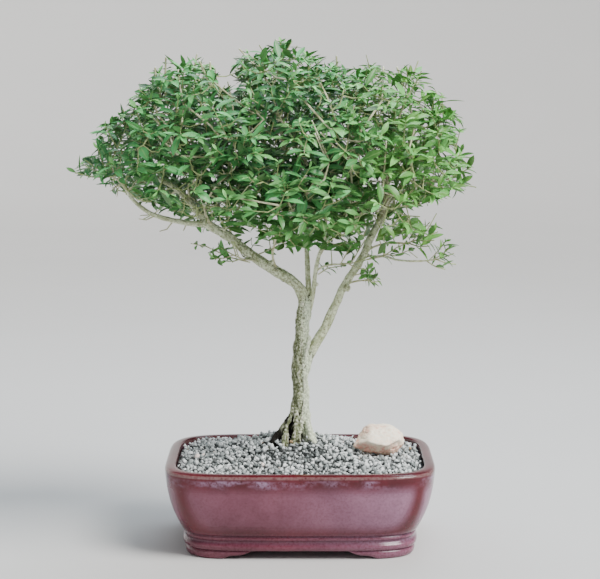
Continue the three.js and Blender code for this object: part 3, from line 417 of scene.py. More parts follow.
# The sprays that the tree's outline asks for, as in the solids: start, heading, length of shoots, and limb
FEATURED = [
    [[-167, -35, 346], [-1, -0.1, 0.45], 0.8, "left_low"],
    [[117, 27, 265.5], [1, 0.1, 0], 0.6, "low_right"],
    [[98, 14, 284], [1, -0.3, 0.1], 0.8, "right"],
    [[57, 6, 249], [0.5, -0.7, 0.05], 0.35, "right"],
    [[-52, -17, 272], [-1, -0.3, 0.05], 0.5, "left"],
    [[-26, -14, 281], [-0.4, -0.6, 0.3], 0.7, "left"],
    [[34, -6, 266], [0.7, -0.6, 0.3], 0.7, "stem_front"],
    [[-126, 26, 322], [-0.7, 0.8, 0.1], 1, "left_high"],
    [[-146, 17, 356], [-0.9, 0.1, 0.6], 1, "left_high"],
    [[104, 33, 417], [0.1, -0.1, 1], 0.7, "right_high"],
    [[117, 2, 342], [1, -0.15, 0.1], 0.9, "right"],
    [[115, -14, 388], [0.9, -0.3, 0.5], 0.9, None],
]


# Small vector algebra, on arrays whose first axis is x, y, z
def dot(a, b):
    return a[0] * b[0] + a[1] * b[1] + a[2] * b[2]


def length(a):
    return np.sqrt(dot(a, a))


def unit(a):
    return a * (1 / length(a))


def cross(a, b):
    return np.array([a[1] * b[2] - a[2] * b[1], a[2] * b[0] - a[0] * b[2], a[0] * b[1] - a[1] * b[0]])


def across(a, direction):
    """The direction nearest to a at right angles to another"""
    return unit(a + direction * -dot(a, direction))


def distances(points, p):
    return np.linalg.norm(points - p, axis=1)


def tangents(path):
    """The direction of a path at each of its points"""
    padded = np.concatenate([path[:1], path, path[-1:]])
    return [unit(way) for way in padded[2:] - padded[:-2]]


def segment_gaps(a, b, c, d):
    """The shortest distances between the segment a-b and each of the segments c-d"""
    u = (b - a).reshape(3, 1)
    v = d - c
    w = a.reshape(3, 1) - c
    uu = dot(u, u)
    uv = dot(u, v)
    vv = dot(v, v)
    wide = uu * vv - uv * uv
    is_wide = wide > 1e-9
    s = np.where(is_wide, (uv * dot(v, w) - vv * dot(u, w)) / np.where(is_wide, wide, 1), 0)
    t = np.clip((uv * np.clip(s, 0, 1) + dot(v, w)) / vv, 0, 1)
    s = np.clip((uv * t - dot(u, w)) / uu, 0, 1)
    return length((a.reshape(3, 1) + u * s) - (c + v * t))


def segments_of(limbs):
    """The rows at the starts and at the ends of all segments of some limbs"""
    rows = [np.array(limb, float) for limb in limbs]
    return np.concatenate([limb[:-1] for limb in rows]).T, np.concatenate([limb[1:] for limb in rows]).T


# The growth that repeats the solids'
def seeded(seed):
    """The repeatable stream of numbers from 0 to 1 that the solids grow by"""
    state = seed
    while True:
        state = (state * 1664525 + 1013904223) % 4294967296
        yield state / 4294967296


def crown_share(p):
    """How far p lies from the crown's heart, as a share of the envelope's reach in that direction"""
    is_left = p[0] < HEART[0]
    reach_down = REACH_DOWN_LEFT if is_left else REACH_DOWN_RIGHT
    x = (p[0] - HEART[0]) / (REACH_LEFT if is_left else REACH_RIGHT)
    y = (p[1] - HEART[1]) / REACH_DEPTH
    z = (p[2] - HEART[2]) / (reach_down if p[2] < HEART[2] else REACH_UP)
    rounded = x * x + y * y + z * z
    boxy = math.sqrt(x * x * x * x + y * y * y * y + z * z * z * z)
    return math.sqrt((1 - BOXINESS) * rounded + BOXINESS * boxy)


def any_way(random):
    """A random direction, even on all sides"""
    while True:
        v = np.array([next(random) * 2 - 1 for _ in range(3)])
        far = length(v)
        if 0.1 < far < 1:
            return v * (1 / far)


def draw_place(band, random):
    """A random point of the crown between two shares of its reach"""
    while True:
        p = CROWN_LOW + (CROWN_HIGH - CROWN_LOW) * [next(random) for _ in range(3)]
        if band[0] < crown_share(p) < band[1]:
            return p


def new_spray(at, heading, size, limb):
    return {"at": np.array(at, float), "heading": unit(np.array(heading, float)), "size": size, "limb": limb}


def place_sprays(random):
    """Where sprays start: the featured ones, then each where it falls furthest from all before it"""
    sprays = [new_spray(*row) for row in FEATURED]
    for band, count in ((SHELL, SHELL_SPRAYS), (INSIDE, INSIDE_SPRAYS)):
        for _ in range(count):
            placed = np.array([spray["at"] for spray in sprays]).T
            tries = [draw_place(band, random) for _ in range(CANDIDATES)]
            best = max(tries, key=lambda p: length(placed - p.reshape(3, 1)).min())
            sprays.append(new_spray(best, best - HEART, 1, None))
    return sprays


def new_station(at, direction, way, limb, branch):
    """A place that a branch may leave from, with the way from it to the fork"""
    return {"at": at, "direction": unit(direction), "way": way, "limb": limb, "branch": branch}


def limb_stations():
    stations = []
    for name, limb in LIMBS.items():
        rows = np.array(limb, float)[:, :3]
        for p, direction in zip(rows, tangents(rows)):
            if p[2] >= LOWEST_BRANCH[name]:
                stations.append(new_station(p, direction, p[2] - FORK_HEIGHT, name, None))
    return stations


def nearest_station(stations, spray):
    """The place a branch to a spray leaves from: near, on a short way to the trunk, without a sharp bend"""

    def cost(station):
        gap = spray["at"] - station["at"]
        far = length(gap)
        if far < SHORTEST_BRANCH:
            return math.inf
        turn = 1 - dot(gap, station["direction"]) / far
        return far + WAY_COST * station["way"] + TURN_COST * far * turn

    return min([s for s in stations if spray["limb"] in (None, s["limb"])], key=cost)


def branch_place(branch, t):
    """The place at a share t of the way along a branch, which curves past its knee"""
    start, knee, end = branch["start"], branch["knee"], branch["end"]
    return start * ((1 - t) * (1 - t)) + knee * (2 * t * (1 - t)) + end * (t * t)


def grow_branches(sprays):
    """Branches from the limbs to the sprays, in which later ones may leave from earlier ones"""
    stations = limb_stations()
    branches = []
    for spray in sorted(sprays, key=lambda spray: length(spray["at"] - FIRST_GROWN)):
        station = nearest_station(stations, spray)
        start = station["at"]
        gap = spray["at"] - start
        far = length(gap)
        knee = start + unit(station["direction"] + unit(gap) * BRANCH_LEAN) * (BRANCH_KNEE * far)
        branch = {"start": start, "knee": knee, "end": spray["at"], "parent": station["branch"], "load": 0}
        branches.append(branch)
        spray["branch"] = branch
        spray["tangent"] = unit(spray["at"] - knee)
        for share in CARRYING_SHARES:
            at = branch_place(branch, share)
            ahead = branch_place(branch, share + 0.1)
            way = station["way"] + far * share
            stations.append(new_station(at, ahead - at, way, station["limb"], branch))
        carrier = branch
        while carrier:
            carrier["load"] += 1
            carrier = carrier["parent"]
    return branches


def wood_segments(branches):
    """The segments of limbs and branches, which shoots keep clear of: start, end, radius and owner"""
    before, after = segments_of(LIMBS.values())
    taken = [(a[:3], b[:3], a[3], None) for a, b in zip(before.T, after.T)]
    for branch in branches:
        stops = [branch_place(branch, i / 3) for i in range(4)]
        taken += [(a, b, BRANCH_ROOM, branch) for a, b in zip(stops, stops[1:])]
    return taken


def try_shoot(spray, outward, number, attempt, random):
    """One try at a shoot: a spray's first runs on from its branch, the others leave it to either side"""
    is_main = number == 0
    shorter = 1 - (0.45 * attempt) / SHOOT_ATTEMPTS
    usual = MAIN_SHOOT if is_main else SIDE_SHOOT
    long = (usual + SHOOT_VARIATION * next(random)) * spray["size"] * shorter
    direction = unit(outward + any_way(random) * 0.25)
    start = spray["at"] + spray["tangent"] * SHOOT_ROOT
    if not is_main:
        main = spray["shoots"][0]
        start = main["from"] + (main["knee"] - main["from"]) * (0.12 + 0.24 * (number - 1))
        side = across(any_way(random), outward)
        is_return = "side" in spray and number % 2 == 0
        way = unit(spray["side"] * -1 + side * 0.35) if is_return else side
        direction = unit((outward + way * 0.95) + UP * 0.2)
        if number % 2 == 1:
            spray["side"] = side
    knee = start + direction * (0.5 * long)
    level = start + direction * long
    tip = (level + UP * (0.1 * long)) + any_way(random) * (0.06 * long)
    return {"from": start, "knee": knee, "tip": tip, "number": number}


def halves(shoot):
    """A shoot's two straight stretches"""
    return [(shoot["from"], shoot["knee"]), (shoot["knee"], shoot["tip"])]


def grow_shoots(sprays, taken, random):
    """The shoots of every spray, each clear of all other wood and shoots"""
    for spray in sprays:
        spray["shoots"] = []
        start = (spray["tangent"] + spray["heading"] * 1.1) + UP * 0.25
        outward = unit(start + any_way(random) * 0.3)
        others = [row for row in taken if row[3] is not spray and row[3] is not spray["branch"]]
        starts, ends, radii = [np.array(column).T for column in list(zip(*others))[:3]]
        room = radii + SHOOT_ROOM
        for number in range(SHOOTS_PER_SPRAY):
            for attempt in range(SHOOT_ATTEMPTS):
                shoot = try_shoot(spray, outward, number, attempt, random)
                if crown_share(shoot["tip"]) > TIP_REACH and not spray["limb"]:
                    continue
                if all(np.all(segment_gaps(a, b, starts, ends) > room) for a, b in halves(shoot)):
                    spray["shoots"].append(shoot)
                    break
            if not spray["shoots"]:
                break
        taken += [(a, b, TWIG_RADIUS, spray) for shoot in spray["shoots"] for a, b in halves(shoot)]


def new_leaf(root, axis, long, young):
    return {"root": root, "axis": unit(axis), "long": long, "young": young}


def leaf_place(leaf, share):
    """The place at a share of a leaf's length from its root"""
    return leaf["root"] + leaf["axis"] * leaf["long"] * share


def grow_leaves(shoot, pairs, random):
    """The leaves of one shoot: opposite pairs, each pair at right angles to the one above it"""
    leaves = []
    direction = unit(shoot["tip"] - shoot["knee"])
    first = across(any_way(random), direction)
    spreads = [first, cross(direction, first)]
    for pair in range(LEAF_PAIRS):
        root = shoot["tip"] + direction * (-1 - LEAF_PAIR_STEP * pair)
        age, young = (0.78, 0.35) if pair == 0 else (1, 0)
        for side in (1, -1):
            sideways = across(spreads[pair % 2] * side + any_way(random) * 0.25, direction)
            lean = 0.85 - 0.1 * pair + 0.25 * (next(random) * 2 - 1)
            long = LEAF_LENGTH * age * (0.8 + 0.42 * next(random))
            if pair < pairs:
                leaves.append(new_leaf(root, (sideways + direction * lean) + UP * 0.12, long, young))
    return leaves


def grow_crown():
    """Sprays, branches and shoots by the same draws as the solids, so that each grows where its solid is"""
    random = seeded(SEED)
    sprays = place_sprays(random)
    branches = grow_branches(sprays)
    grow_shoots(sprays, wood_segments(branches), random)
    for spray in sprays:
        pairs = LEAF_PAIRS * spray["size"]
        spray["leaves"] = [leaf for shoot in spray["shoots"] for leaf in grow_leaves(shoot, pairs, random)]
    return [spray for spray in sprays if spray["shoots"]], branches


# The finer growth: side twigs and filling twigs with their leaves, bare twigs and pruned stems
def random_way(rng):
    return unit(rng.normal(size=3))


def seen(points):
    """Where points show from the camera's place: x and z in the upright plane through the pot's middle"""
    share = -CAMERA_PLACE[1] / (points[1] - CAMERA_PLACE[1])
    return np.array([points[0] * share, CAMERA_PLACE[2] + (points[2] - CAMERA_PLACE[2]) * share])


def is_in_box(p):
    return bool(np.all(p > BOX_LOW - BOX_MARGIN) and np.all(p < BOX_HIGH + BOX_MARGIN))


def is_in_outline(p):
    """Whether a point shows in the crown's outline: it has an odd number of edges to its right"""
    x, z = seen(p)
    inside = False
    for (ax, az), (bx, bz) in zip(CROWN_OUTLINE, CROWN_OUTLINE[1:] + CROWN_OUTLINE[:1]):
        if (az > z) != (bz > z) and x < ax + (bx - ax) * (z - az) / (bz - az):
            inside = not inside
    return inside


def front_place(x, z):
    """The place at the crown's front, or else in its middle, that shows at x and z"""
    for y in np.arange(-REACH_DEPTH, HEART[1], 2.0):
        scale = 1 - y / CAMERA_PLACE[1]
        p = np.array([x * scale, y, CAMERA_PLACE[2] + (z - CAMERA_PLACE[2]) * scale])
        if crown_share(p) < FRONT_SHARE:
            break
    return p


def bare_segments():
    """The limbs' segments that show their bark: as seen, with their place in depth and their radius"""
    before, after = segments_of([LIMBS[name] for name in BARE_LIMBS])
    return seen(before), seen(after), (before[1] + after[1]) / 2, (before[3] + after[3]) / 2


def hides_limb(p, segments):
    """Whether p stands before a limb that shows its bark"""
    starts, ends, depth, radius = segments
    way = ends - starts
    off = seen(p).reshape(2, 1) - starts
    share = np.clip((off * way).sum(axis=0) / (way * way).sum(axis=0), 0, 1)
    gaps = np.hypot(*(off - way * share))
    return bool(np.any((gaps < radius + BARE_ROOM) & (p[1] < depth + radius)))


def is_in_clump(p):
    """Whether leaves grow at p: they leave small gaps everywhere, and large ones in the sparse places"""
    seen_x, seen_z = seen(p)
    is_thin = any(
        math.hypot((seen_x - x) / wide, (seen_z - z) / high) < 1 for x, z, wide, high in THIN_PLACES
    )
    return noise.noise(Vector(p / CLUMP)) > (THIN_LIMIT if is_thin else CLUMP_LIMIT)


def leafy_twig(start, knee, tip, pairs, rng, size=1.0):
    """A thin twig that ends in a tuft of opposite pairs of leaves, the smallest and youngest at the tip"""
    stem = unit(tip - knee)
    first = across(random_way(rng), stem)
    spreads = [first, cross(stem, first)]
    leaves = []
    for pair, (below, long, lean) in enumerate(TUFT_PAIRS[:pairs]):
        for side in (1, -1):
            sideways = across(spreads[pair % 2] * side + random_way(rng) * 0.3, stem)
            axis = (sideways + stem * (lean + rng.uniform(-0.2, 0.25))) * LEVELLED + UP * 0.08
            grown = long * size * rng.uniform(0.75, 1.18)
            young = [1.0, 0.5 * rng.random(), 0.0][min(pair, 2)]
            leaves.append(new_leaf(tip - stem * below, axis, grown, young))
    return {"path": [start, knee, tip], "radii": LEAFY_TWIG_RADII}, leaves


def young_tip(shoot, rng):
    """The small bright leaves that open at a shoot's tip"""
    stem = unit(shoot["tip"] - shoot["knee"])
    first = across(random_way(rng), stem)
    leaves = []
    for side in (1, -1):
        sideways = across(first * side + random_way(rng) * 0.2, stem)
        axis = sideways + stem * rng.uniform(1.2, 2.2)
        leaves.append(new_leaf(shoot["tip"], axis, rng.uniform(*YOUNG_LEAF_LENGTH), 1.0))
    return leaves


def grow_side_twigs(sprays, rng):
    """Side twigs on every shoot and branch, with their leaves, inside the crown's envelope"""
    twigs = []
    for spray in sprays:
        starts = []
        is_full = spray["size"] > FULL_SPRAY
        for shoot in spray["shoots"]:
            spray["leaves"] += young_tip(shoot, rng)
            for _ in range(SIDE_TWIGS if is_full else 0):
                share = 2 * rng.uniform(*SIDE_TWIG_PLACES)
                before, after = halves(shoot)[int(share)]
                starts.append([before + (after - before) * (share % 1), unit(after - before)])
        branch = spray["branch"]
        for _ in range(BRANCH_TWIGS if is_full else 0):
            start = branch_place(branch, rng.uniform(*BRANCH_TWIG_PLACES))
            starts.append([start, unit(branch["end"] - branch["knee"])])
        for start, along in starts:
            sideways = across(random_way(rng), along)
            direction = unit(along * 0.75 + sideways + UP * 0.35)
            long = rng.uniform(*SIDE_TWIG_LENGTH)
            tip = start + direction * long + UP * 0.12 * long
            if crown_share(tip) > TWIG_REACH and not spray["limb"]:
                continue
            knee = start + direction * 0.5 * long + random_way(rng) * 0.1 * long
            twig, leaves = leafy_twig(start, knee, tip, int(rng.integers(3, 5)), rng)
            twigs.append(twig)
            spray["leaves"] += leaves
    return twigs


def carriers_of(sprays, branches, twigs):
    """Places along the wood that a filling twig may leave from"""
    places = [branch_place(branch, share) for branch in branches for share in FILL_PLACES]
    for spray in sprays:
        for shoot in spray["shoots"]:
            places += [shoot["from"], (shoot["from"] + shoot["knee"]) / 2, shoot["knee"]]
    return np.array(places + [twig["path"][1] for twig in twigs])


def fill_crown(sprays, carriers, tips, rng):
    """Leafy twigs where the crown is thin, each from the nearest wood to a place far from all other tips"""
    centres = np.array([np.mean([shoot["tip"] for shoot in spray["shoots"]], axis=0) for spray in sprays])
    twigs = []

    def grow(start, tip, pairs, size, fresh):
        far = np.linalg.norm(tip - start)
        knee = (start + tip) / 2 + random_way(rng) * 0.07 * far - UP * 0.14 * far
        twig, leaves = leafy_twig(start, knee, tip, pairs, rng, size)
        twigs.append(twig)
        spray = sprays[distances(centres, tip).argmin()]
        for leaf in leaves:
            if leaf["long"] < STRAY_LEAF or is_in_outline(leaf_place(leaf, LEAF_REACH)):
                leaf["young"] = max(leaf["young"], fresh)
                spray["leaves"].append(leaf)
        return knee

    for x, z, size in FRONT_TUFTS:
        tip = front_place(x, z)
        start = carriers[distances(carriers + TUFT_RISE, tip).argmin()]
        knee = grow(start, tip, FRONT_TUFT_PAIRS, size, TUFT_FRESHNESS)
        tips = np.vstack([tips, tip])
        carriers = np.vstack([carriers, knee])
    for _ in range(FILL_TRIES):
        tip = rng.uniform(CROWN_LOW, CROWN_HIGH)
        share = crown_share(tip)
        if share > 1 or not is_in_outline(tip + unit(tip - HEART) * FILL_EDGE) or not is_in_clump(tip):
            continue
        if distances(tips, tip).min() < FILL_ROOM[0 if share > OUTER_HALF else 1]:
            continue
        gaps = distances(carriers, tip)
        far = gaps.min()
        if not FILL_LENGTH[0] < far < FILL_LENGTH[1]:
            continue
        pairs = int(np.clip(far / FILL_PAIR_STEP, *FILL_PAIRS))
        knee = grow(carriers[gaps.argmin()], tip, pairs, rng.uniform(*FILL_SIZE), 0)
        tips = np.vstack([tips, tip])
        carriers = np.vstack([carriers, knee, (knee + tip) / 2])
    return twigs


def crooked_path(start, direction, long, steps, rng):
    """A thin twig's way, which changes a little at each of its nodes"""
    path = [start]
    for _ in range(steps):
        direction = unit(direction + random_way(rng) * 0.35)
        path.append(path[-1] + direction * (long / steps))
    return path


def tapered(path, thick, thin):
    return {"path": path, "radii": np.linspace(thick, thin, len(path))}


def grow_bare_twigs(branches, rng):
    """The leafless twigs inside the crown, and the thin twigs that show by themselves"""
    twigs = [tapered(rows, *THIN_TWIG_RADII) for rows in THIN_TWIGS]
    for _ in range(BARE_TWIGS):
        branch = branches[rng.integers(len(branches))]
        start = branch_place(branch, rng.uniform(*BARE_TWIG_PLACES))
        along = unit(branch["end"] - branch["start"])
        direction = unit(along * 0.5 + random_way(rng) + UP * 0.2)
        path = crooked_path(start, direction, rng.uniform(*BARE_TWIG_LENGTH), BARE_TWIG_NODES, rng)
        if crown_share(path[-1]) < BARE_TWIG_REACH:
            twigs.append(tapered(path, *BARE_TWIG_RADII))
    return twigs


def grow_stems(carriers, rng):
    """Pruned stems with a pale cut end, each from the nearest wood under its lowest seen place"""
    stems = []
    for rows in CUT_STEMS:
        places = [front_place(x, z) for x, z in rows]
        if len(places) > 1:
            gaps = distances(carriers, places[0] + unit(places[0] - places[1]) * STEM_BACK)
            gaps += STEM_LIFT_COST * np.clip(carriers[:, 2] - places[0][2], 0, None)
            start = carriers[gaps.argmin()]
        else:
            x, z = rows[0]
            gaps = np.hypot(carriers[:, 0] - x, carriers[:, 2] - (z - STUB_LENGTH))
            start = carriers[(gaps + STUB_DEPTH_COST * carriers[:, 1]).argmin()]
            tip = np.array([places[0][0], start[1], places[0][2]])
            places = [(start + tip) / 2 + random_way(rng) * STUB_BEND, tip]
        bevel = places[-1] + unit(places[-2] - places[-1]) * CUT_BEVEL
        stems.append(tapered([start, *places[:-1], bevel, places[-1]], *STEM_RADII))
    return stems


def add_pair(sprays, at, stem, sizes, young, rng):
    """A small pair of opposite leaves on a thin twig"""
    spray = min(sprays, key=lambda spray: length(spray["at"] - at))
    first = across(random_way(rng), stem)
    for side in (1, -1):
        axis = (first * side + stem * rng.uniform(0.3, 0.9)) * LEVELLED + UP * 0.1
        spray["leaves"].append(new_leaf(at, axis, rng.uniform(*sizes), young))


def leafy_nodes(sprays, stems, rng):
    """Small pairs of leaves along the thin twigs that show by themselves, and below the cut ends"""
    for rows in THIN_TWIGS:
        path = np.array(rows, float)
        for before, at in zip(path, path[1:]):
            for share in THIN_TWIG_NODES:
                node = before + (at - before) * share
                add_pair(sprays, node, unit(at - before), THIN_TWIG_LEAF, THIN_TWIG_FRESHNESS, rng)
    for stem in stems:
        before, cut = stem["path"][-2:]
        way = unit(cut - before)
        for below, young in CUT_END_PAIRS:
            add_pair(sprays, cut - way * below, way, CUT_END_LEAF, young, rng)


# Meshes
class Heap:
    """The points, triangles and values of many shapes that make one mesh"""

    def __init__(self):
        self.points = []
        self.triangles = []
        self.values = {}
        self.count = 0

    def add(self, points, triangles, **values):
        points = np.asarray(points, float).reshape(-1, 3)
        self.points.append(points)
        self.triangles.append(np.asarray(triangles, np.int64).reshape(-1, 3) + self.count)
        self.count += len(points)
        for name, value in values.items():
            self.values.setdefault(name, []).append(np.broadcast_to(np.asarray(value, float), (len(points),)))

    def mesh(self, name):
        values = {key: np.concatenate(parts) for key, parts in self.values.items()}
        return new_mesh(name, np.concatenate(self.points), np.concatenate(self.triangles), values)


def new_object(name, data):
    """An object in the scene that shows a mesh, a light or a camera"""
    made = bpy.data.objects.new(name, data)
    bpy.context.scene.collection.objects.link(made)
    return made


def set_values(mesh, values):
    """Gives each point of a mesh its values, under the names that the materials read"""
    for name, value in values.items():
        layer = mesh.attributes.new(name, "FLOAT", "POINT")
        layer.data.foreach_set("value", np.ascontiguousarray(value, np.float32))


def new_mesh(name, points, triangles, values):
    """A mesh in metres from points in millimetres, triangles and the points' values for the material"""
    mesh = bpy.data.meshes.new(name)
    mesh.vertices.add(len(points))
    mesh.vertices.foreach_set("co", (points * MM + SHIFT).ravel())
    mesh.loops.add(triangles.size)
    mesh.loops.foreach_set("vertex_index", triangles.astype(np.int32).ravel())
    mesh.polygons.add(len(triangles))
    mesh.polygons.foreach_set("loop_start", np.arange(len(triangles), dtype=np.int32) * 3)
    mesh.update(calc_edges=True)
    set_values(mesh, values)
    mesh.validate()
    return mesh


def new_piece(mesh, material, slot, *replaced, sharp=None):
    """A piece of the object that shows a mesh, rides on the one body and may stand for CAD nodes"""
    piece = new_object(mesh.name, mesh)
    mesh.materials.clear()
    mesh.materials.append(material)
    if sharp is not None:
        mesh.shade_smooth()
        mesh.set_sharp_from_angle(angle=math.radians(sharp))
    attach(piece, BODY)
    if replaced:
        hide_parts(*replaced)


def applied(shape, name):
    """A new mesh with an object's modifiers applied to it; the object goes"""
    graph = bpy.context.evaluated_depsgraph_get()
    mesh = bpy.data.meshes.new_from_object(shape.evaluated_get(graph))
    bpy.data.objects.remove(shape)
    mesh.name = name
    return mesh


def wall(ring_count, n):
    """The triangles between rings of n points each"""
    ring, i = np.meshgrid(np.arange(ring_count - 1), np.arange(n), indexing="ij")
    a = (ring * n + i).ravel()
    b = (ring * n + (i + 1) % n).ravel()
    return np.concatenate([np.stack([a, b, b + n], 1), np.stack([a, b + n, a + n], 1)])


def fan(first, n, middle, is_lower):
    """The triangles between a ring of n points and a point in its middle"""
    a = first + np.arange(n)
    b = first + (np.arange(n) + 1) % n
    m = np.full(n, middle)
    return np.stack([b, a, m], 1) if is_lower else np.stack([a, b, m], 1)


def closed(rings, low, high):
    """The points and triangles of a body through rings of points, between a lowest and a highest point"""
    n = len(rings[0])
    points = np.concatenate([*rings, [low], [high]])
    lower = fan(0, n, len(points) - 2, True)
    upper = fan((len(rings) - 1) * n, n, len(points) - 1, False)
    return points, np.concatenate([wall(len(rings), n), lower, upper])


def next_side(side, tangent):
    """A path's side direction, carried on at right angles to its tangent without a twist"""
    if side is None:
        side = UP if abs(tangent[2]) < 0.9 else np.array([1.0, 0, 0])
    return across(side, tangent)


def tube(path, radii, sides):
    """A closed tube round a path, with a radius at each of its points"""
    path = np.asarray(path, float)
    turns = 2 * np.pi * np.arange(sides) / sides
    rings = []
    side = None
    for p, radius, tangent in zip(path, radii, tangents(path)):
        side = next_side(side, tangent)
        other = cross(tangent, side)
        rings.append(p + radius * (np.outer(np.cos(turns), side) + np.outer(np.sin(turns), other)))
    return closed(rings, path[0], path[-1])


def smooth_rows(rows, step, fewest=1):
    """Points about a step apart on a smooth curve through rows of numbers (Catmull and Rom's)"""
    rows = np.asarray(rows, float)
    padded = np.concatenate([[2 * rows[0] - rows[1]], rows, [2 * rows[-1] - rows[-2]]])
    smooth = []
    for i in range(1, len(rows)):
        p, q, r, s = padded[i - 1 : i + 3]
        bend = 2 * p - 5 * q + 4 * r - s
        twist = 3 * q - p - 3 * r + s
        count = max(fewest, round(float(np.linalg.norm((r - q)[:3])) / step))
        for t in np.arange(count) / count:
            smooth.append(0.5 * (2 * q + (r - p) * t + bend * t**2 + twist * t**3))
    return np.array([*smooth, rows[-1]])


# Leaves
def leaf_blades(leaves, rng):
    """All leaves of a spray as closed blades: four-sided sections along a folded, arched midrib"""
    count = len(leaves)
    root = np.array([leaf["root"] for leaf in leaves]).T
    axis = np.array([leaf["axis"] for leaf in leaves]).T
    long = np.array([leaf["long"] for leaf in leaves])
    young = np.array([leaf["young"] for leaf in leaves])
    outward = unit(root - HEART.reshape(3, 1))
    facing = UP.reshape(3, 1) + outward * 0.8 + rng.normal(size=(3, count)) * LEAF_TILT
    normal = across(facing, axis)
    side = cross(axis, normal)
    half = 0.5 * long * (LEAF_WIDTH_SHARE * rng.uniform(*LEAF_WIDTH_RANGE, count))
    bend = rng.uniform(*LEAF_BEND, count) * np.where(rng.random(count) < BENT_BACK, -0.5, 1)
    fold = rng.uniform(*LEAF_FOLD, count)
    points = []
    for share, width in LEAF_OUTLINE:
        points += leaf_section(root, axis, normal, side, long, bend, share, half * width, fold)
    points.append(leaf_section(root, axis, normal, side, long, bend, 1, half * 0, fold)[1])
    per_leaf = len(points)
    last = 4 * (len(LEAF_OUTLINE) - 1)
    stalk_end = [[2, 1, 0], [3, 2, 0]]
    pattern = np.concatenate([wall(len(LEAF_OUTLINE), 4), fan(last, 4, per_leaf - 1, False), stalk_end])
    triangles = (pattern[None] + per_leaf * np.arange(count)[:, None, None]).reshape(-1, 3)
    # Painted shade: each leaf's random tone is darkened the deeper it lies in the crown
    shares = np.array([crown_share(leaf["root"]) for leaf in leaves])
    # The rib's value is 1 on top of it, -1 under it and 0 at the leaf's edges
    return np.stack(points).transpose(2, 0, 1).reshape(-1, 3), triangles, {
        "tone": np.repeat(rng.random(count) * np.interp(shares, *DEPTH_SHADE_BY_SHARE), per_leaf),
        "young": np.repeat(young, per_leaf),
        "rib": np.tile([0, 1, 0, -1] * len(LEAF_OUTLINE) + [0.5], count),
        "along": np.tile([share for share, _ in LEAF_OUTLINE for _ in range(4)] + [1], count),
    }


def leaf_section(root, axis, normal, side, long, bend, share, half, fold):
    """Edge, top of the rib, other edge and underside of the rib at one place along each leaf"""
    turned = bend * share
    forward = long * np.sin(turned) / bend
    drop = long * (1 - np.cos(turned)) / bend
    centre = root + axis * forward - normal * drop
    out = normal * np.cos(turned) + axis * np.sin(turned)
    lift = half * np.tan(fold)
    thick = LEAF_THICKNESS * (1 - 0.7 * share)
    return [
        centre - side * half + out * lift,
        centre + out * (0.25 * thick),
        centre + side * half + out * lift,
        centre - out * (0.75 * thick),
    ]


def make_leaves(sprays, rng, material):
    """Each spray's leaves that cross no limb, hide no bare one, and lie in the clumps and in the outline"""
    before, after = segments_of(LIMBS.values())
    bare = bare_segments()
    for i, spray in enumerate(sprays):
        kept = []
        for leaf in spray["leaves"]:
            near, middle, tip = [leaf_place(leaf, share) for share in LEAF_CHECKS]
            if not is_in_box(tip) or not is_in_outline(middle) or not is_in_clump(leaf["root"]):
                continue
            if any(hides_limb(p, bare) for p in (near, middle, tip)):
                continue
            if np.all(segment_gaps(near, tip, before[:3], after[:3]) > before[3] + LEAF_CLEARANCE):
                kept.append(leaf)
        mesh = new_mesh(f"leaves_{i + 1:02d}", *leaf_blades(kept, rng))
        new_piece(mesh, material, "leaf", f"leafy_spray_{i + 1:02d}", sharp=75)


def ring_values(values, sides):
    """The values at a tube's rings, given to each of its points"""
    return np.append(np.repeat(values, sides), [values[0], values[-1]])


def make_twigs(sprays, branches, side_twigs, bare_twigs, stems, material):
    """All thin wood: the branches, the shoots, their side twigs, the bare twigs and the pruned stems"""
    heap = Heap()
    for branch in branches:
        rows = smooth_rows(branch_rows(branch), BRANCH_STEP)
        heap.add(*tube(rows[:, :3], rows[:, 3], BRANCH_SIDES), green=0, cut=0)
    for spray in sprays:
        for shoot in spray["shoots"]:
            is_main = shoot["number"] == 0
            path = [spray["at"]] * is_main + [shoot["from"], shoot["knee"], shoot["tip"]]
            thick = TWIG_RADIUS * (1 if is_main else 0.8)
            radii = np.linspace(thick, SHOOT_TIP_RADIUS, len(path))
            rows = smooth_rows(np.column_stack([path, radii]), SHOOT_STEP)
            green = ring_values(np.linspace(0, 1, len(rows)), SHOOT_SIDES)
            heap.add(*tube(rows[:, :3], rows[:, 3], SHOOT_SIDES), green=green, cut=0)
    for twigs, green in ((side_twigs, 0.8), (bare_twigs, 0)):
        for twig in twigs:
            heap.add(*tube(twig["path"], twig["radii"], TWIG_SIDES), green=green, cut=0)
    for stem in stems:
        cut = ring_values([0] * (len(stem["path"]) - 1) + [1], SHOOT_SIDES)
        heap.add(*tube(stem["path"], stem["radii"], SHOOT_SIDES), green=0, cut=cut)
    new_piece(heap.mesh("twigs"), material, "bark", sharp=50)


# Wood
def branch_rows(branch):
    """A branch as rows of x, y, z and radius, thicker the more sprays it carries"""
    root = BRANCH_RADIUS * branch["load"] ** (1 / BRANCH_EXPONENT)
    return [[*branch_place(branch, t), root + (BRANCH_RADIUS - root) * t] for t in np.linspace(0, 1, 7)]


def remeshed(mesh, name, voxel):
    """The mesh made again as one even skin"""
    blank = new_object("blank", mesh)
    modifier = blank.modifiers.new("Remesh", "REMESH")
    modifier.mode = "VOXEL"
    modifier.voxel_size = voxel * MM
    modifier.use_smooth_shade = True
    return applied(blank, name)


def wood_frames(all_rows):
    """Segments of all limbs with their own side directions, the way along them and their limb's number"""
    parts = []
    for number, rows in enumerate(all_rows):
        side = None
        way = 0
        for before, after in zip(rows, rows[1:]):
            tangent = unit(after[:3] - before[:3])
            side = next_side(side, tangent)
            long = np.linalg.norm(after[:3] - before[:3])
            ends = [*before[:3], *after[:3], *side, *cross(tangent, side)]
            parts.append([*ends, way, long, before[3], after[3], number])
            way += long
    return np.array(parts)


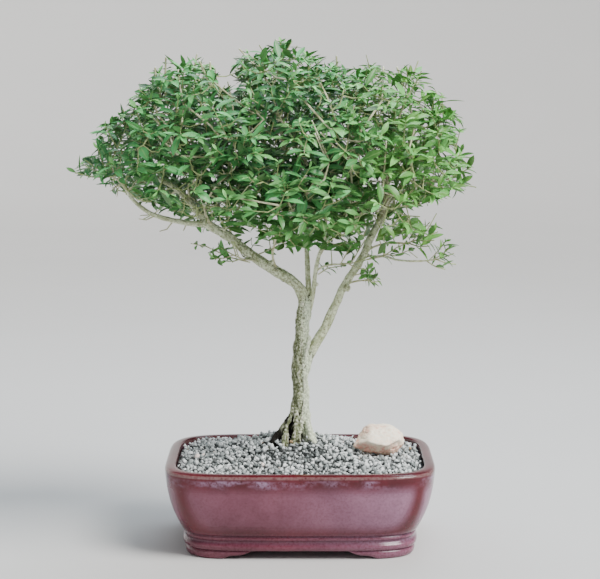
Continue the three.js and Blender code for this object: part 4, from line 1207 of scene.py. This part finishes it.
def along_limbs(points, parts):
    """For each point, by the nearest limb: two sideways distances, the way along, radius and number"""
    found = np.zeros((len(points), 5))
    nearest = np.full(len(points), np.inf)
    for part in parts:
        start, end, side, other = part[:3], part[3:6], part[6:9], part[9:12]
        way, long, radius, next_radius, number = part[12:]
        t = np.clip((points - start) @ (end - start) / long**2, 0, 1)
        off = points - (start + np.outer(t, end - start))
        thick = radius + (next_radius - radius) * t
        depth = np.linalg.norm(off, axis=1) / thick
        closer = depth < nearest
        nearest[closer] = depth[closer]
        rows = np.column_stack([off @ side, off @ other, way + t * long, thick, np.full(len(points), number)])
        found[closer] = rows[closer]
    return found


def skin_points(skin):
    """A mesh's points in millimetres in the pot's frame, and its normals"""
    points = np.zeros(len(skin.vertices) * 3)
    normals = np.zeros(len(skin.vertices) * 3)
    skin.vertices.foreach_get("co", points)
    skin.vertices.foreach_get("normal", normals)
    return (points.reshape(-1, 3) - SHIFT) / MM, normals.reshape(-1, 3)


def smoothed(skin, values, steps):
    """The values at a mesh's points, each drawn towards those round it, over a number of steps"""
    edges = np.zeros(len(skin.edges) * 2, np.int32)
    skin.edges.foreach_get("vertices", edges)
    near, far = edges.reshape(-1, 2).T
    both = np.concatenate([near, far])
    others = np.concatenate([far, near])
    counts = np.bincount(both, minlength=len(values))
    for _ in range(steps):
        sums = [np.bincount(both, weights=column[others], minlength=len(values)) for column in values.T]
        values = 0.5 * values + 0.5 * np.stack(sums, 1) / counts[:, None]
    return values


def hollowness(skin):
    """How far each point lies under the mean of the points round it, in millimetres"""
    points, normals = skin_points(skin)
    return ((smoothed(skin, points, HOLLOW_STEPS) - points) * normals).sum(axis=1)


def make_wood(material):
    """Trunk, limbs and surface roots as one skin, with rough bark low down and finer bark above"""
    heap = Heap()
    above_foot = [row for row in LIMBS["trunk"] if row[2] > FOOT_CORE[-1][2]]
    upright = [above_foot, FOOT_CORE + above_foot[:1], TORN_BARK, *ROOTS]
    names = [name for name in LIMBS if name != "trunk"]
    limbs = [smooth_rows(limb, LIMB_STEP) for limb in upright + [LIMBS[name] for name in names]]
    roughness = [LIMB_ROUGHNESS.get(name, OTHER_ROUGHNESS) for name in ["trunk"] * len(upright) + names]
    for rows in limbs:
        heap.add(*tube(rows[:, :3], rows[:, 3], LIMB_SIDES))
    for x, y, z, radius in KNOTS:
        path = [[x, y, z + 0.9 * radius * end] for end in (-1, 0, 1)]
        heap.add(*tube(path, np.array([0.5, 1, 0.5]) * radius, KNOT_SIDES))
    skin = remeshed(heap.mesh("blank"), "wood", BARK_VOXEL)
    points, normals = skin_points(skin)
    places = along_limbs(points, wood_frames(limbs))
    numbers = places[:, 4].astype(int)
    is_upright = numbers < len(upright)
    sideways = np.where(is_upright[:, None], points[:, :2], places[:, :2])
    grain = np.column_stack([sideways, GRAIN_STRETCH * np.where(is_upright, points[:, 2], places[:, 2])])
    # The thicker a limb is, the rougher
    rough = np.clip((places[:, 3] - 0.8) / 4, 0.08, 1)
    rough = np.where(is_upright, 1, rough * np.array(roughness)[numbers])
    rough = smoothed(skin, rough[:, None], BLEND_STEPS)[:, 0]
    relief = np.array([bark_relief(p, g) for p, g in zip(points, grain)])
    # Painted shade in the hollows at the foot and over a root at its left
    shade = np.zeros(len(points))
    for x, y, z, reach in SHADED_HOLLOWS:
        shade = np.maximum(shade, 1.3 - distances(points, [x, y, z]) / reach)
    points += normals * (rough * relief)[:, None]
    skin.vertices.foreach_set("co", (points * MM + SHIFT).ravel())
    skin.update()
    layer = skin.attributes.new("grain", "FLOAT_VECTOR", "POINT")
    layer.data.foreach_set("vector", grain.astype(np.float32).ravel())
    set_values(skin, {"rough": rough, "hollow": hollowness(skin), "shade": np.clip(shade, 0, 1)})
    new_piece(skin, material, "bark", "tree_wood", sharp=80)


def bark_relief(p, grain):
    """Height of the bark in millimetres: broad lumps, long soft furrows that wander, and rough flakes"""
    x, y, z = p
    lumps = noise.noise(Vector((x * 0.13, y * 0.13, z * 0.075)))
    wander = noise.noise(Vector((grain[0] * 0.16, grain[1] * 0.16, grain[2] * 0.8)))
    furrows = noise.noise(Vector((grain[0] * 0.36 + wander, grain[1] * 0.36 - wander, grain[2] * 0.55)))
    flakes = noise.noise(Vector((x * 0.5, y * 0.5, z * 0.4)))
    flakes += 0.7 * noise.noise(Vector((x, y, z * 0.8)) * 0.24)
    return LUMP_HEIGHT * lumps + FURROW_DEPTH * min(furrows * 2, 0.5) + FLAKE_HEIGHT * flakes


# Pot
def plan_ring(inset):
    """Points of the pot's plan at even steps round it, inset from the rim"""
    turns = np.linspace(0, 2 * np.pi, 4001)
    half = np.array([POT_LENGTH / 2, POT_DEPTH / 2]) - inset
    waves = np.column_stack([np.cos(turns), np.sin(turns)])
    dense = np.sign(waves) * np.abs(waves) ** (2 / SQUARENESS) * half
    way = np.concatenate([[0], np.cumsum(np.linalg.norm(np.diff(dense, axis=0), axis=1))])
    stops = np.linspace(0, way[-1], PLAN_POINTS, endpoint=False)
    return np.column_stack([np.interp(stops, way, dense[:, 0]), np.interp(stops, way, dense[:, 1])])


def arch_height(distance, arch):
    """Height of the gap between two feet: full in the middle, then a lobe, then the foot on the ground"""
    ground, lobe, under = arch
    lobe_curve = LOBE_HEIGHT * (1 - np.clip((distance - lobe) / (ground - lobe), 0, 1) ** 2)
    rise = np.clip((lobe - distance) / (lobe - under), 0, 1)
    return lobe_curve + (FOOT_HEIGHT - LOBE_HEIGHT) * rise**2


def foot_share(x, y):
    """How much of a foot is left under a point of the pot, from 0 in an arch to 1"""
    lowest = np.maximum(arch_height(np.abs(x), FRONT_ARCH), arch_height(np.abs(y), SIDE_ARCH))
    return 1 - lowest / FOOT_HEIGHT


def flat_ring(inset, z):
    return np.column_stack([plan_ring(inset), np.full(PLAN_POINTS, z)])


def foot_ring(inset, z, hold):
    """A ring of the feet: where an arch is, it draws back to the pot's underside"""
    ring = plan_ring(hold)
    outer = plan_ring(inset)
    share = foot_share(ring[:, 0], ring[:, 1])
    flat = ring + (outer - ring) * share[:, None]
    return np.column_stack([flat, FOOT_HEIGHT - (FOOT_HEIGHT - z) * share])


def make_pot(material):
    """The pot as one skin from its underside's middle over feet, wall and rim to its floor's middle"""
    sole = FOOT_ROWS[0][0]
    recess = sole + FOOT_THICKNESS
    apron = OUTER_PROFILE[0][0]
    rings = [flat_ring(recess + 4, FOOT_HEIGHT), flat_ring(recess, FOOT_HEIGHT)]
    for inset, z in [[recess, 4], [recess - 0.2, 1], [recess - 1, 0], [(recess + sole) / 2, 0]]:
        rings.append(foot_ring(inset, z, inset))
    rings += [foot_ring(inset, z, apron) for inset, z in FOOT_ROWS]
    for profile in (OUTER_PROFILE, INNER_PROFILE):
        rings += [flat_ring(inset, z) for inset, z in smooth_rows(profile, math.inf, PROFILE_STEPS)]
    mesh = new_mesh("uncut", *closed(rings, [0, 0, FOOT_HEIGHT], [0, 0, FLOOR_TOP]), {})
    melt(mesh)
    new_piece(with_drains(mesh, "glazed_pot"), material, "glaze", "pot", sharp=50)


def melt(mesh):
    """Joins the points that lie on each other, as the feet's rings do where there is no foot"""
    work = bmesh.new()
    work.from_mesh(mesh)
    bmesh.ops.remove_doubles(work, verts=work.verts, dist=0.02 * MM)
    bmesh.ops.dissolve_degenerate(work, edges=work.edges, dist=0.01 * MM)
    bmesh.ops.recalc_face_normals(work, faces=work.faces)
    work.to_mesh(mesh)
    work.free()


def with_drains(mesh, name):
    """The pot with the two drainage holes cut through its floor"""
    pot = new_object("uncut", mesh)
    cutters = []
    for side in (-1, 1):
        path = [[side * DRAIN_OFFSET, 0, z] for z in DRAIN_CUT]
        cutter = new_object("cutter", new_mesh("cutter", *tube(path, [DRAIN_RADIUS] * 2, DRAIN_SIDES), {}))
        modifier = pot.modifiers.new("Drain", "BOOLEAN")
        modifier.operation = "DIFFERENCE"
        modifier.solver = "EXACT"
        modifier.object = cutter
        cutters.append(cutter)
    cut = applied(pot, name)
    for cutter in cutters:
        bpy.data.objects.remove(cutter)
    return cut


# Grit and stone
def grit_height(x, y):
    """The heaped surface, as hills round the places of GRIT_HEAPS"""
    height = GRIT_EDGE
    for top, top_x, top_y, spread_x, spread_y in GRIT_HEAPS:
        height = height + top * np.exp(-(((x - top_x) / spread_x) ** 2) - ((y - top_y) / spread_y) ** 2)
    return height


def is_in_plan(x, y, inset):
    half_x = POT_LENGTH / 2 - inset
    half_y = POT_DEPTH / 2 - inset
    return np.abs(x / half_x) ** SQUARENESS + np.abs(y / half_y) ** SQUARENESS < 1


def grain_shapes(rng):
    """A few angular grains: hulls of points on a flattened ball, as points and triangles"""
    shapes = []
    for _ in range(GRAIN_SHAPES):
        work = bmesh.new()
        for _ in range(int(rng.integers(7, 11))):
            work.verts.new(random_way(rng) * rng.uniform(0.85, 1.1) * GRAIN_FLATNESS)
        bmesh.ops.convex_hull(work, input=work.verts)
        bmesh.ops.triangulate(work, faces=work.faces)
        bmesh.ops.delete(work, geom=[v for v in work.verts if not v.link_faces], context="VERTS")
        work.verts.index_update()
        triangles = [[v.index for v in face.verts] for face in work.faces]
        shapes.append([np.array([v.co for v in work.verts]), triangles])
        work.free()
    return shapes


def random_turn(rng):
    """A random rotation matrix"""
    first = unit(rng.normal(size=3) * [1, 1, 0.8])
    second = across(rng.normal(size=3), first)
    return np.column_stack([first, second, cross(first, second)])


def make_grit(rng, material):
    """Loose crushed grains in two layers over a rough bed"""
    heap = Heap()
    shapes = grain_shapes(rng)
    before, after = segments_of([*ROOTS, FOOT_CORE])
    step = GRAIN_SPACING * math.sqrt(3) / 2
    columns = math.ceil(POT_LENGTH / GRAIN_SPACING)
    rows = math.ceil(POT_DEPTH / step)
    for layer, row, column in np.ndindex(len(GRAIN_LAYERS), rows, columns):
        lift, light = GRAIN_LAYERS[layer]
        stray = rng.uniform(*GRAIN_STRAY, 2)
        x = (column + 0.5 * (row % 2) + LAYER_OFFSET[0] * layer) * GRAIN_SPACING - POT_LENGTH / 2 + stray[0]
        y = (row + LAYER_OFFSET[1] * layer) * step - POT_DEPTH / 2 + stray[1]
        size = GRAIN_SIZE[0] + (GRAIN_SIZE[1] - GRAIN_SIZE[0]) * rng.random() ** SMALL_GRAINS
        at = np.array([x, y, grit_height(x, y) + lift + rng.normal() * GRAIN_UNEVENNESS])
        turn = random_turn(rng)
        points, triangles = shapes[rng.integers(GRAIN_SHAPES)]
        tone = rng.random()
        gaps = segment_gaps(at, at + UP, before[:3], after[:3])
        is_in_root = np.any(gaps < before[3] + 0.15 * size)
        if is_in_plan(x, y, GRIT_ROOM + 0.3 * size) and not is_in_root and not is_in_stone(at):
            heap.add(points * (size / 2) @ turn.T + at, triangles, tone=tone, light=light)
    new_piece(heap.mesh("grains"), material, "grit", "gravel")


def is_in_stone(p):
    off = (p - STONE_CENTRE) / (np.array(STONE_HALF) * STONE_CORE)
    return dot(off, off) < 1


def make_bed(material):
    """The surface that the loose grains lie on: a square grid drawn onto the pot's rounded plan"""
    heap = Heap()
    columns, rows = BED_POINTS
    x, y = np.meshgrid(np.linspace(-0.5, 0.5, columns), np.linspace(-0.5, 0.5, rows))
    reach = np.maximum(np.abs(x), np.abs(y)) * 2
    norm = (np.abs(2 * x) ** SQUARENESS + np.abs(2 * y) ** SQUARENESS) ** (1 / SQUARENESS)
    shrink = np.where(norm > 0, reach / np.where(norm > 0, norm, 1), 1)
    inset = GRIT_ROOM - 1
    x = (x * shrink * (POT_LENGTH - 2 * inset)).ravel()
    y = (y * shrink * (POT_DEPTH - 2 * inset)).ravel()
    relief = np.array([noise.noise(Vector((a / 4, b / 4, 0))) for a, b in zip(x, y)])
    points = np.column_stack([x, y, grit_height(x, y) - BED_DEPTH + relief])
    a = (np.arange(rows - 1)[:, None] * columns + np.arange(columns - 1)).ravel()
    b = a + columns + 1
    triangles = np.concatenate([np.stack([a, a + 1, b], 1), np.stack([a, b, b - 1], 1)])
    # Painted shade: the bed is dark, as in the gaps between the grains
    heap.add(points, triangles, tone=0.2, light=0.12)
    new_piece(heap.mesh("grit_bed"), material, "grit", sharp=80)


def stone_reach(d):
    """How far the stone reaches in direction d: broken faces with worn edges, a ledge, chips and pits"""
    facing = [max(0, d.dot(Vector(normal).normalized()) / far) for normal, far in STONE_FACES]
    reach = sum(share**STONE_SHARPNESS for share in facing) ** (-1 / STONE_SHARPNESS)
    ledge = 0.11 * math.exp(-((d - Vector(STONE_LEDGE).normalized()).length ** 2) / 0.05)
    cells = noise.voronoi(d * 2.6 + Vector((4, 1, 2)))[0]
    chips = 0.09 * min(cells[1] - cells[0], 0.5) + 0.03 * noise.noise(d * 4) + 0.022 * noise.noise(d * 10)
    return reach * 0.98 + ledge + chips + 0.012 * noise.noise(d * 26)


def make_stone(material):
    """A weathered angular lump, nearly flat on top, drawn in underneath"""
    work = bmesh.new()
    bmesh.ops.create_icosphere(work, subdivisions=6, radius=1)
    for v in work.verts:
        d = v.co.normalized()
        at = np.array(d * stone_reach(d)) * STONE_HALF + STONE_CENTRE
        v.co = Vector(at * MM + SHIFT)
    mesh = bpy.data.meshes.new("accent_stone")
    work.to_mesh(mesh)
    work.free()
    new_piece(mesh, material, "stone", "stone", sharp=60)


# Materials
class Finish:
    """A material, with short calls for the nodes that feed its shader, and the colour its tints build up"""

    def __init__(self, name, **values):
        self.material = bpy.data.materials.new(name)
        self.material.use_nodes = True
        self.nodes = self.material.node_tree.nodes
        self.shader = self.nodes["Principled BSDF"]
        self.place = self.add("TexCoord", {}, "Object")
        self.colour = None
        for socket, value in values.items():
            self.set(socket.replace("_", " "), value)

    def set(self, socket, value):
        self.feed(self.shader.inputs[socket], value)

    def feed(self, socket, value):
        if isinstance(value, bpy.types.NodeSocket):
            self.material.node_tree.links.new(value, socket)
        elif socket.type == "RGBA":
            socket.default_value = (*value, 1)
        else:
            socket.default_value = value

    def add(self, kind, inputs, output=0, **settings):
        node = self.nodes.new("ShaderNode" + kind)
        for name, value in settings.items():
            setattr(node, name, value)
        for name, value in inputs.items():
            self.feed(node.inputs[name], value)
        return node.outputs[output]

    def attribute(self, name, output="Fac"):
        return self.add("Attribute", {}, output, attribute_name=name)

    def coordinate(self, axis):
        return self.add("SeparateXYZ", {0: self.place}, axis)

    def stretched(self, vector, scale):
        return self.add("Mapping", {"Vector": vector, "Scale": scale})

    def noise(self, scale, detail=3.0, roughness=0.5, distortion=0.0, at=None):
        inputs = {"Scale": scale, "Detail": detail, "Roughness": roughness, "Distortion": distortion}
        return self.add("TexNoise", {"Vector": self.place if at is None else at, **inputs})

    def math(self, operation, *values):
        return self.add("Math", dict(enumerate(values)), operation=operation)

    def product(self, value, *others):
        for other in others:
            value = self.math("MULTIPLY", value, other)
        return value

    def band(self, value, low, high):
        """0 below low, 1 above high, smooth between; falls instead where high is below low"""
        inputs = {"Value": value, "From Min": low, "From Max": high}
        return self.add("MapRange", inputs, interpolation_type="SMOOTHSTEP")

    def between(self, axis, low, high):
        """A band from one place to another along an axis, in millimetres in the pot's frame"""
        return self.band(self.coordinate(axis), SHIFT[axis] + low * MM, SHIFT[axis] + high * MM)

    def zone(self, height, low, full, fading, high):
        """1 from full to fading, and 0 below low and above high, in millimetres"""
        return self.product(self.band(height, low * MM, full * MM), self.band(height, high * MM, fading * MM))

    def mix(self, share, a, b):
        return self.add("Mix", {0: share, 6: a, 7: b}, 2, data_type="RGBA")

    def tint(self, share, colour, strength=1):
        """Draws the colour so far towards another, by the share and the strength"""
        if strength < 1:
            colour = self.mix(strength, self.colour, colour)
        self.colour = self.mix(share, self.colour, colour)

    def done(self, height, strength, distance):
        """The material, with its colour and with bumps whose distance is in millimetres"""
        self.set("Base Color", self.colour)
        inputs = {"Height": height, "Strength": strength, "Distance": distance * MM}
        self.set("Normal", self.add("Bump", inputs))
        return self.material


def leaf_finish():
    """Glossy green leaves: random tones with painted shade on those deep in the crown, yellow-green young
    ones, painted light that yellows the crown's right side and painted shade that dulls its low part, a pale
    midrib and a pale underside
    """
    f = Finish("leaf", Roughness=0.36, Specular_IOR_Level=0.42)
    tone = f.attribute("tone")
    rib = f.attribute("rib")
    # The tone carries painted shade: leaves deep in the crown come out darker
    f.colour = f.mix(f.band(tone, 0, 0.4), (0.007, 0.05, 0.018), (0.036, 0.215, 0.064))
    f.tint(f.band(tone, 0.3, 1), (0.13, 0.54, 0.17))
    f.tint(f.attribute("young"), (0.32, 0.78, 0.24))
    # Painted light: the crown's right side, towards the sun, turns yellower
    f.tint(f.between(0, 20, 110), (0.28, 0.62, 0.04), 0.3)
    # Painted shade: the crown's low part turns a duller olive
    f.tint(f.between(2, 340, 290), (0.2, 0.34, 0.06), 0.35)
    f.tint(f.band(f.noise(260, 2), 0.35, 0.75), (0.12, 0.27, 0.08), 0.5)
    f.tint(f.product(f.band(rib, 0.78, 1), 0.5), (0.26, 0.46, 0.15))
    f.tint(f.product(f.band(rib, -0.02, -0.2), 0.6), (0.17, 0.32, 0.12))
    veins = f.add("TexWave", {"Vector": f.add("CombineXYZ", {"X": f.attribute("along")}), "Scale": 2.4})
    glow = f.add("BsdfTranslucent", {"Color": f.mix(0.55, f.colour, (0.22, 0.5, 0.09))})
    lit = f.add("MixShader", {0: 0.22, 1: f.shader.outputs[0], 2: glow})
    f.feed(f.nodes["Material Output"].inputs["Surface"], lit)
    return f.done(veins, 0.12, 0.2)


def bark_finish():
    """Rough tan-cream bark low down, with dark moss and painted shade on the left and painted light on the
    right, painted highlights on its ridges and painted shade in its hollows, and smoother greenish cream bark
    on the limbs
    """
    f = Finish("bark", Roughness=0.85, Specular_IOR_Level=0.2)
    rough = f.attribute("rough")
    hollow = f.attribute("hollow")
    streaks = f.noise(700, 4, 0.65, 0.5, at=f.stretched(f.attribute("grain", "Vector"), (MM, MM, MM)))
    flecks = f.noise(520, 5, 0.75, 0.2)
    patches = f.noise(130, 3, 0.6)
    f.colour = f.mix(f.band(patches, 0.3, 0.7), (0.41, 0.46, 0.25), (0.78, 0.83, 0.6))
    f.tint(f.band(flecks, 0.5, 0.36), (0.17, 0.15, 0.08), 0.7)
    f.tint(f.band(rough, 0.35, 0.8), f.mix(f.band(flecks, 0.42, 0.58), (0.09, 0.1, 0.045), (0.7, 0.77, 0.54)))
    f.tint(f.band(streaks, 0.48, 0.34), (0.13, 0.115, 0.06), 0.6)
    # Painted light on the right side of the rough bark, where the sun falls
    painted_sunlight = f.product(f.between(0, 1, 6), f.band(rough, 0.4, 0.9))
    f.tint(painted_sunlight, (0.82, 0.92, 0.7), 0.45)
    # Dark olive moss with painted shade, in patches on the left side of the rough bark
    moss_and_shade = f.product(f.between(0, 3, -4), f.band(rough, 0.5, 0.9), f.band(patches, 0.1, 0.4))
    f.tint(moss_and_shade, (0.085, 0.1, 0.035), 0.74)
    pruned = f.product(f.between(2, 300, 325), f.between(0, 60, 75))
    f.tint(pruned, (0.34, 0.2, 0.09), 0.5)
    # Painted highlight on the bark's ridges and painted shade in its hollows
    f.tint(f.band(hollow, -0.04, -0.3), (0.86, 0.84, 0.72), 0.5)
    f.tint(f.band(hollow, 0.03, 0.32), (0.07, 0.062, 0.036))
    # Painted shade, near black, in the hollows at the foot
    f.tint(f.band(f.attribute("shade"), 0.1, 0.7), (0.01, 0.008, 0.006))
    return f.done(f.math("ADD", streaks, flecks), 0.9, 0.8)


def twig_finish():
    """Pale twigs that turn green towards their tips, with cream cut ends"""
    f = Finish("twig", Roughness=0.7)
    patches = f.band(f.noise(180, 3, 0.6), 0.3, 0.7)
    f.colour = f.mix(patches, (0.32, 0.31, 0.16), (0.66, 0.67, 0.46))
    f.tint(f.band(f.attribute("green"), 0.2, 1), f.mix(patches, (0.2, 0.27, 0.09), (0.36, 0.43, 0.17)))
    f.tint(f.band(f.attribute("cut"), 0.02, 0.5), (0.86, 0.85, 0.78))
    return f.done(f.noise(900, 2), 0.3, 0.2)


def glaze_finish():
    """Oxblood glaze: speckled and pooled in the cove, with a painted reflection as a haze on the flat walls
    and low down, a painted reflection in streaks under the rim, and at the rim a brown line of thin glaze
    with a painted highlight
    """
    f = Finish("glaze", Coat_Weight=0.3, Coat_Roughness=0.12, Specular_IOR_Level=0.25)
    cloud = f.noise(20, 4, 0.6)
    specks = f.noise(420, 4, 0.65)
    f.colour = f.mix(f.band(cloud, 0.35, 0.7), (0.055, 0.002, 0.006), (0.1, 0.004, 0.012))
    f.tint(f.band(specks, 0.6, 0.8), (0.16, 0.03, 0.045))
    f.tint(f.band(specks, 0.42, 0.25), (0.03, 0.003, 0.006))
    height = f.coordinate(2)
    wobble = f.math("MULTIPLY_ADD", cloud, 2.6 * MM, height)
    pooled = f.math("MAXIMUM", f.zone(wobble, 14.8, 16.6, 18.8, 20.8), f.zone(wobble, 22, 22.9, 24, 25.2))
    f.tint(f.product(pooled, f.band(specks, 0.2, 0.6)), (0.014, 0.002, 0.006))
    # Painted reflection: a pinkish haze over the flat walls
    painted_reflection = f.product(f.zone(wobble, 22, 40, 62, 77), flat_share(f), f.band(cloud, -0.3, 0.62))
    # Painted reflection, speckled, low on the walls and over the feet
    low = f.product(f.band(wobble, 30 * MM, 22 * MM), f.band(specks, 0, 0.6), 0.55)
    painted_reflection = f.math("MAXIMUM", painted_reflection, low)
    # The painted reflection's colour, lighter and bluer to the right
    reflected_colour = f.mix(f.band(cloud, 0.3, 0.7), (0.16, 0.05, 0.08), (0.2, 0.072, 0.108))
    reflected_colour = f.mix(f.between(0, -40, 120), reflected_colour, f.mix(0.7, reflected_colour, (0.35, 0.19, 0.29)))
    f.tint(f.product(painted_reflection, f.band(specks, -0.25, 0.7)), reflected_colour)
    # Painted reflection: pale lilac streaks just under the rim
    reflection_streaks = f.band(f.noise(24, 3, 0.6, at=f.stretched(f.place, (1, 1, 2))), 0.46, 0.68)
    painted_rim_reflection = f.product(f.zone(wobble, 69.5, 74.5, 77.5, 80.5), reflection_streaks, f.band(specks, 0.3, 0.6))
    f.tint(painted_rim_reflection, (0.26, 0.16, 0.25))
    # A brown line of thin glaze at the rim's edge, partly a painted highlight
    worn = f.product(f.zone(height, 78.8, 79.7, 81.2, 82.2), f.band(specks, 0.2, 0.62))
    f.tint(worn, (0.17, 0.095, 0.095))
    f.set("Roughness", f.math("MULTIPLY_ADD", painted_reflection, 0.2, 0.14))
    return f.done(f.noise(75, 3), 0.2, 0.7)


def flat_share(f):
    """1 on the pot's flat walls and 0 at its corners, where both terms of its plan's formula are alike"""
    terms = []
    for axis, half in enumerate((POT_LENGTH / 2, POT_DEPTH / 2)):
        off = f.math("ABSOLUTE", f.math("SUBTRACT", f.coordinate(axis), SHIFT[axis]))
        terms.append(f.math("POWER", f.math("DIVIDE", off, (half - 5) * MM), SQUARENESS))
    return f.band(f.math("ABSOLUTE", f.math("SUBTRACT", *terms)), 0.05, 0.55)


def grit_finish():
    """Crushed grey granite: each grain of its own tone, a few tan or white, speckled, with painted shade on
    the lower grains and the bed in the gaps
    """
    f = Finish("grit", Roughness=0.85)
    tone = f.attribute("tone")
    speck = f.noise(1300, 3, 0.7)
    f.colour = f.mix(tone, (0.15, 0.175, 0.175), (0.86, 0.89, 0.89))
    f.tint(f.band(speck, 0.54, 0.7), (0.2, 0.225, 0.22))
    f.tint(f.band(speck, 0.42, 0.3), (0.9, 0.92, 0.91))
    f.tint(f.band(tone, 0.984, 0.985), (0.52, 0.36, 0.2))
    f.tint(f.band(tone, 0.992, 0.993), (0.9, 0.78, 0.72))
    # Painted shade: the lower grains and the bed are darkened, as in the gaps
    f.tint(f.band(f.attribute("light"), 1, 0), (0.03, 0.034, 0.033))
    return f.done(speck, 0.5, 0.3)


def stone_finish():
    """Sugary cream quartz with pink and orange patches, mostly low down and at its upper left"""
    f = Finish("stone", Roughness=0.6)
    patches = f.noise(75, 4, 0.6)
    fine = f.noise(480, 5, 0.75)
    f.colour = f.mix(f.band(fine, 0.35, 0.6), (1, 0.8, 0.6), (1, 0.93, 0.78))
    low = f.band(f.math("MULTIPLY_ADD", patches, 12 * MM, f.coordinate(2)), 103 * MM, 96.5 * MM)
    corner = f.product(f.between(0, 69, 58), f.band(patches, 0.35, 0.55))
    middle = f.product(f.band(patches, 0.5, 0.66), 0.8)
    blush = f.math("MAXIMUM", middle, f.math("MAXIMUM", low, corner))
    veined = f.mix(f.band(f.noise(190, 4, 0.7), 0.4, 0.6), (0.96, 0.76, 0.58), (0.84, 0.38, 0.29))
    f.tint(f.product(blush, f.band(fine, 0.25, 0.55)), veined)
    return f.done(fine, 0.6, 0.6)


def soil_finish():
    """Damp brown granules"""
    f = Finish("soil", Roughness=0.95)
    clumps = f.noise(320, 4, 0.7)
    f.colour = f.mix(f.band(clumps, 0.3, 0.7), (0.03, 0.018, 0.011), (0.11, 0.07, 0.045))
    return f.done(clumps, 0.9, 1.2)


def plastic_finish():
    """Black plastic, a little scuffed"""
    f = Finish("plastic", Roughness=0.5)
    scuffs = f.noise(300, 3, 0.6)
    f.colour = f.mix(f.band(scuffs, 0.4, 0.7), (0.012, 0.014, 0.015), (0.035, 0.04, 0.042))
    return f.done(scuffs, 0.2, 0.2)


def carry_over(node, material):
    """A better material on a CAD node that stays"""
    for slot in frame["nodes"][node].material_slots:
        slot.material = material


# The tree
sprays, branches = grow_crown()
rng = np.random.default_rng(SEED)
side_twigs = grow_side_twigs(sprays, rng)
carriers = carriers_of(sprays, branches, side_twigs)
tips = [shoot["tip"] for spray in sprays for shoot in spray["shoots"]]
tips += [twig["path"][-1] for twig in side_twigs]
side_twigs += fill_crown(sprays, carriers, np.array(tips), rng)
bare_twigs = grow_bare_twigs(branches, rng)
stems = grow_stems(carriers, rng)
leafy_nodes(sprays, stems, rng)
make_leaves(sprays, rng, leaf_finish())
make_twigs(sprays, branches, side_twigs, bare_twigs, stems, twig_finish())
make_wood(bark_finish())

# The pot and what fills it
grit = grit_finish()
make_pot(glaze_finish())
make_grit(rng, grit)
make_bed(grit)
make_stone(stone_finish())
plastic = plastic_finish()
carry_over("soil", soil_finish())
carry_over("drain_mesh_left", plastic)
carry_over("drain_mesh_right", plastic)


# Floor, light and camera
def make_floor():
    """A pale floor that curves up far away on all sides"""
    bend = np.linspace(0, np.pi / 2, 25)[1:]
    radii = [*np.linspace(0, FLOOR_REACH, 8)[1:], *(FLOOR_REACH + FLOOR_BEND * np.sin(bend))]
    heights = [*np.zeros(7), *(FLOOR_RISE * (1 - np.cos(bend)))]
    turns = 2 * np.pi * np.arange(FLOOR_SIDES) / FLOOR_SIDES
    circle = np.column_stack([np.cos(turns), np.sin(turns), np.zeros(FLOOR_SIDES)])
    rings = [circle * radius + UP * height for radius, height in zip(radii, heights)]
    points = np.concatenate([*rings, [[0, 0, 0]]])
    middle = fan(0, FLOOR_SIDES, len(points) - 1, True)
    triangles = np.concatenate([wall(len(rings), FLOOR_SIDES), middle])
    mesh = new_mesh("floor", (points - SHIFT) / MM, triangles[:, ::-1], {})
    mesh.shade_smooth()
    floor = new_object("floor", mesh)
    f = Finish("floor", Roughness=0.7)
    f.set("Base Color", f.mix(f.noise(3, 2), (0.56, 0.555, 0.545), (0.59, 0.585, 0.575)))
    mesh.materials.append(f.material)


def add_light(kind, name, at, aim, power, colour, **settings):
    data = bpy.data.lights.new(name, kind)
    data.energy = power
    data.color = colour
    for setting, value in settings.items():
        setattr(data, setting, value)
    light = new_object(name, data)
    light.location = at
    light.rotation_euler = (Vector(aim) - Vector(at)).to_track_quat("-Z", "Y").to_euler()


def make_world():
    """The studio's dim, cool light from all sides"""
    world = bpy.data.worlds.new("studio")
    bpy.context.scene.world = world
    world.use_nodes = True
    background = world.node_tree.nodes["Background"]
    background.inputs["Color"].default_value = (0.86, 0.92, 1, 1)
    background.inputs["Strength"].default_value = 0.3


def make_camera():
    """The photograph's camera, fitted to the pot"""
    data = bpy.data.cameras.new("camera")
    data.sensor_width = 36
    data.lens = data.sensor_width * FOCAL_SHARE
    data.clip_start = 0.05
    data.clip_end = 50
    camera = new_object("camera", data)
    camera.location = np.array(CAMERA_PLACE) * MM + SHIFT
    camera.rotation_euler = (math.radians(90 - CAMERA_DOWN), 0, 0)
    bpy.context.scene.camera = camera


make_floor()
make_world()
make_camera()
# The studio's broad overhead light, which reaches the floor as far as it goes, and three lamps round the tree
add_light("SUN", "overhead", (0.75, -0.45, 1), (0, 0, 0), 5, (1, 0.99, 0.97), angle=math.radians(30))
add_light("AREA", "key", (0.9, -0.95, 1.1), (0, 0, 0.2), 14, (1, 0.99, 0.97), shape="DISK", size=0.7)
add_light("AREA", "fill", (-0.9, -1.5, 0.5), (0, 0, 0.25), 5, (0.93, 0.97, 1), shape="DISK", size=1.6)
add_light("AREA", "top", (0.15, 0.55, 1.65), (0, 0, 0.3), 24, (0.78, 0.89, 1), shape="DISK", size=1.2)
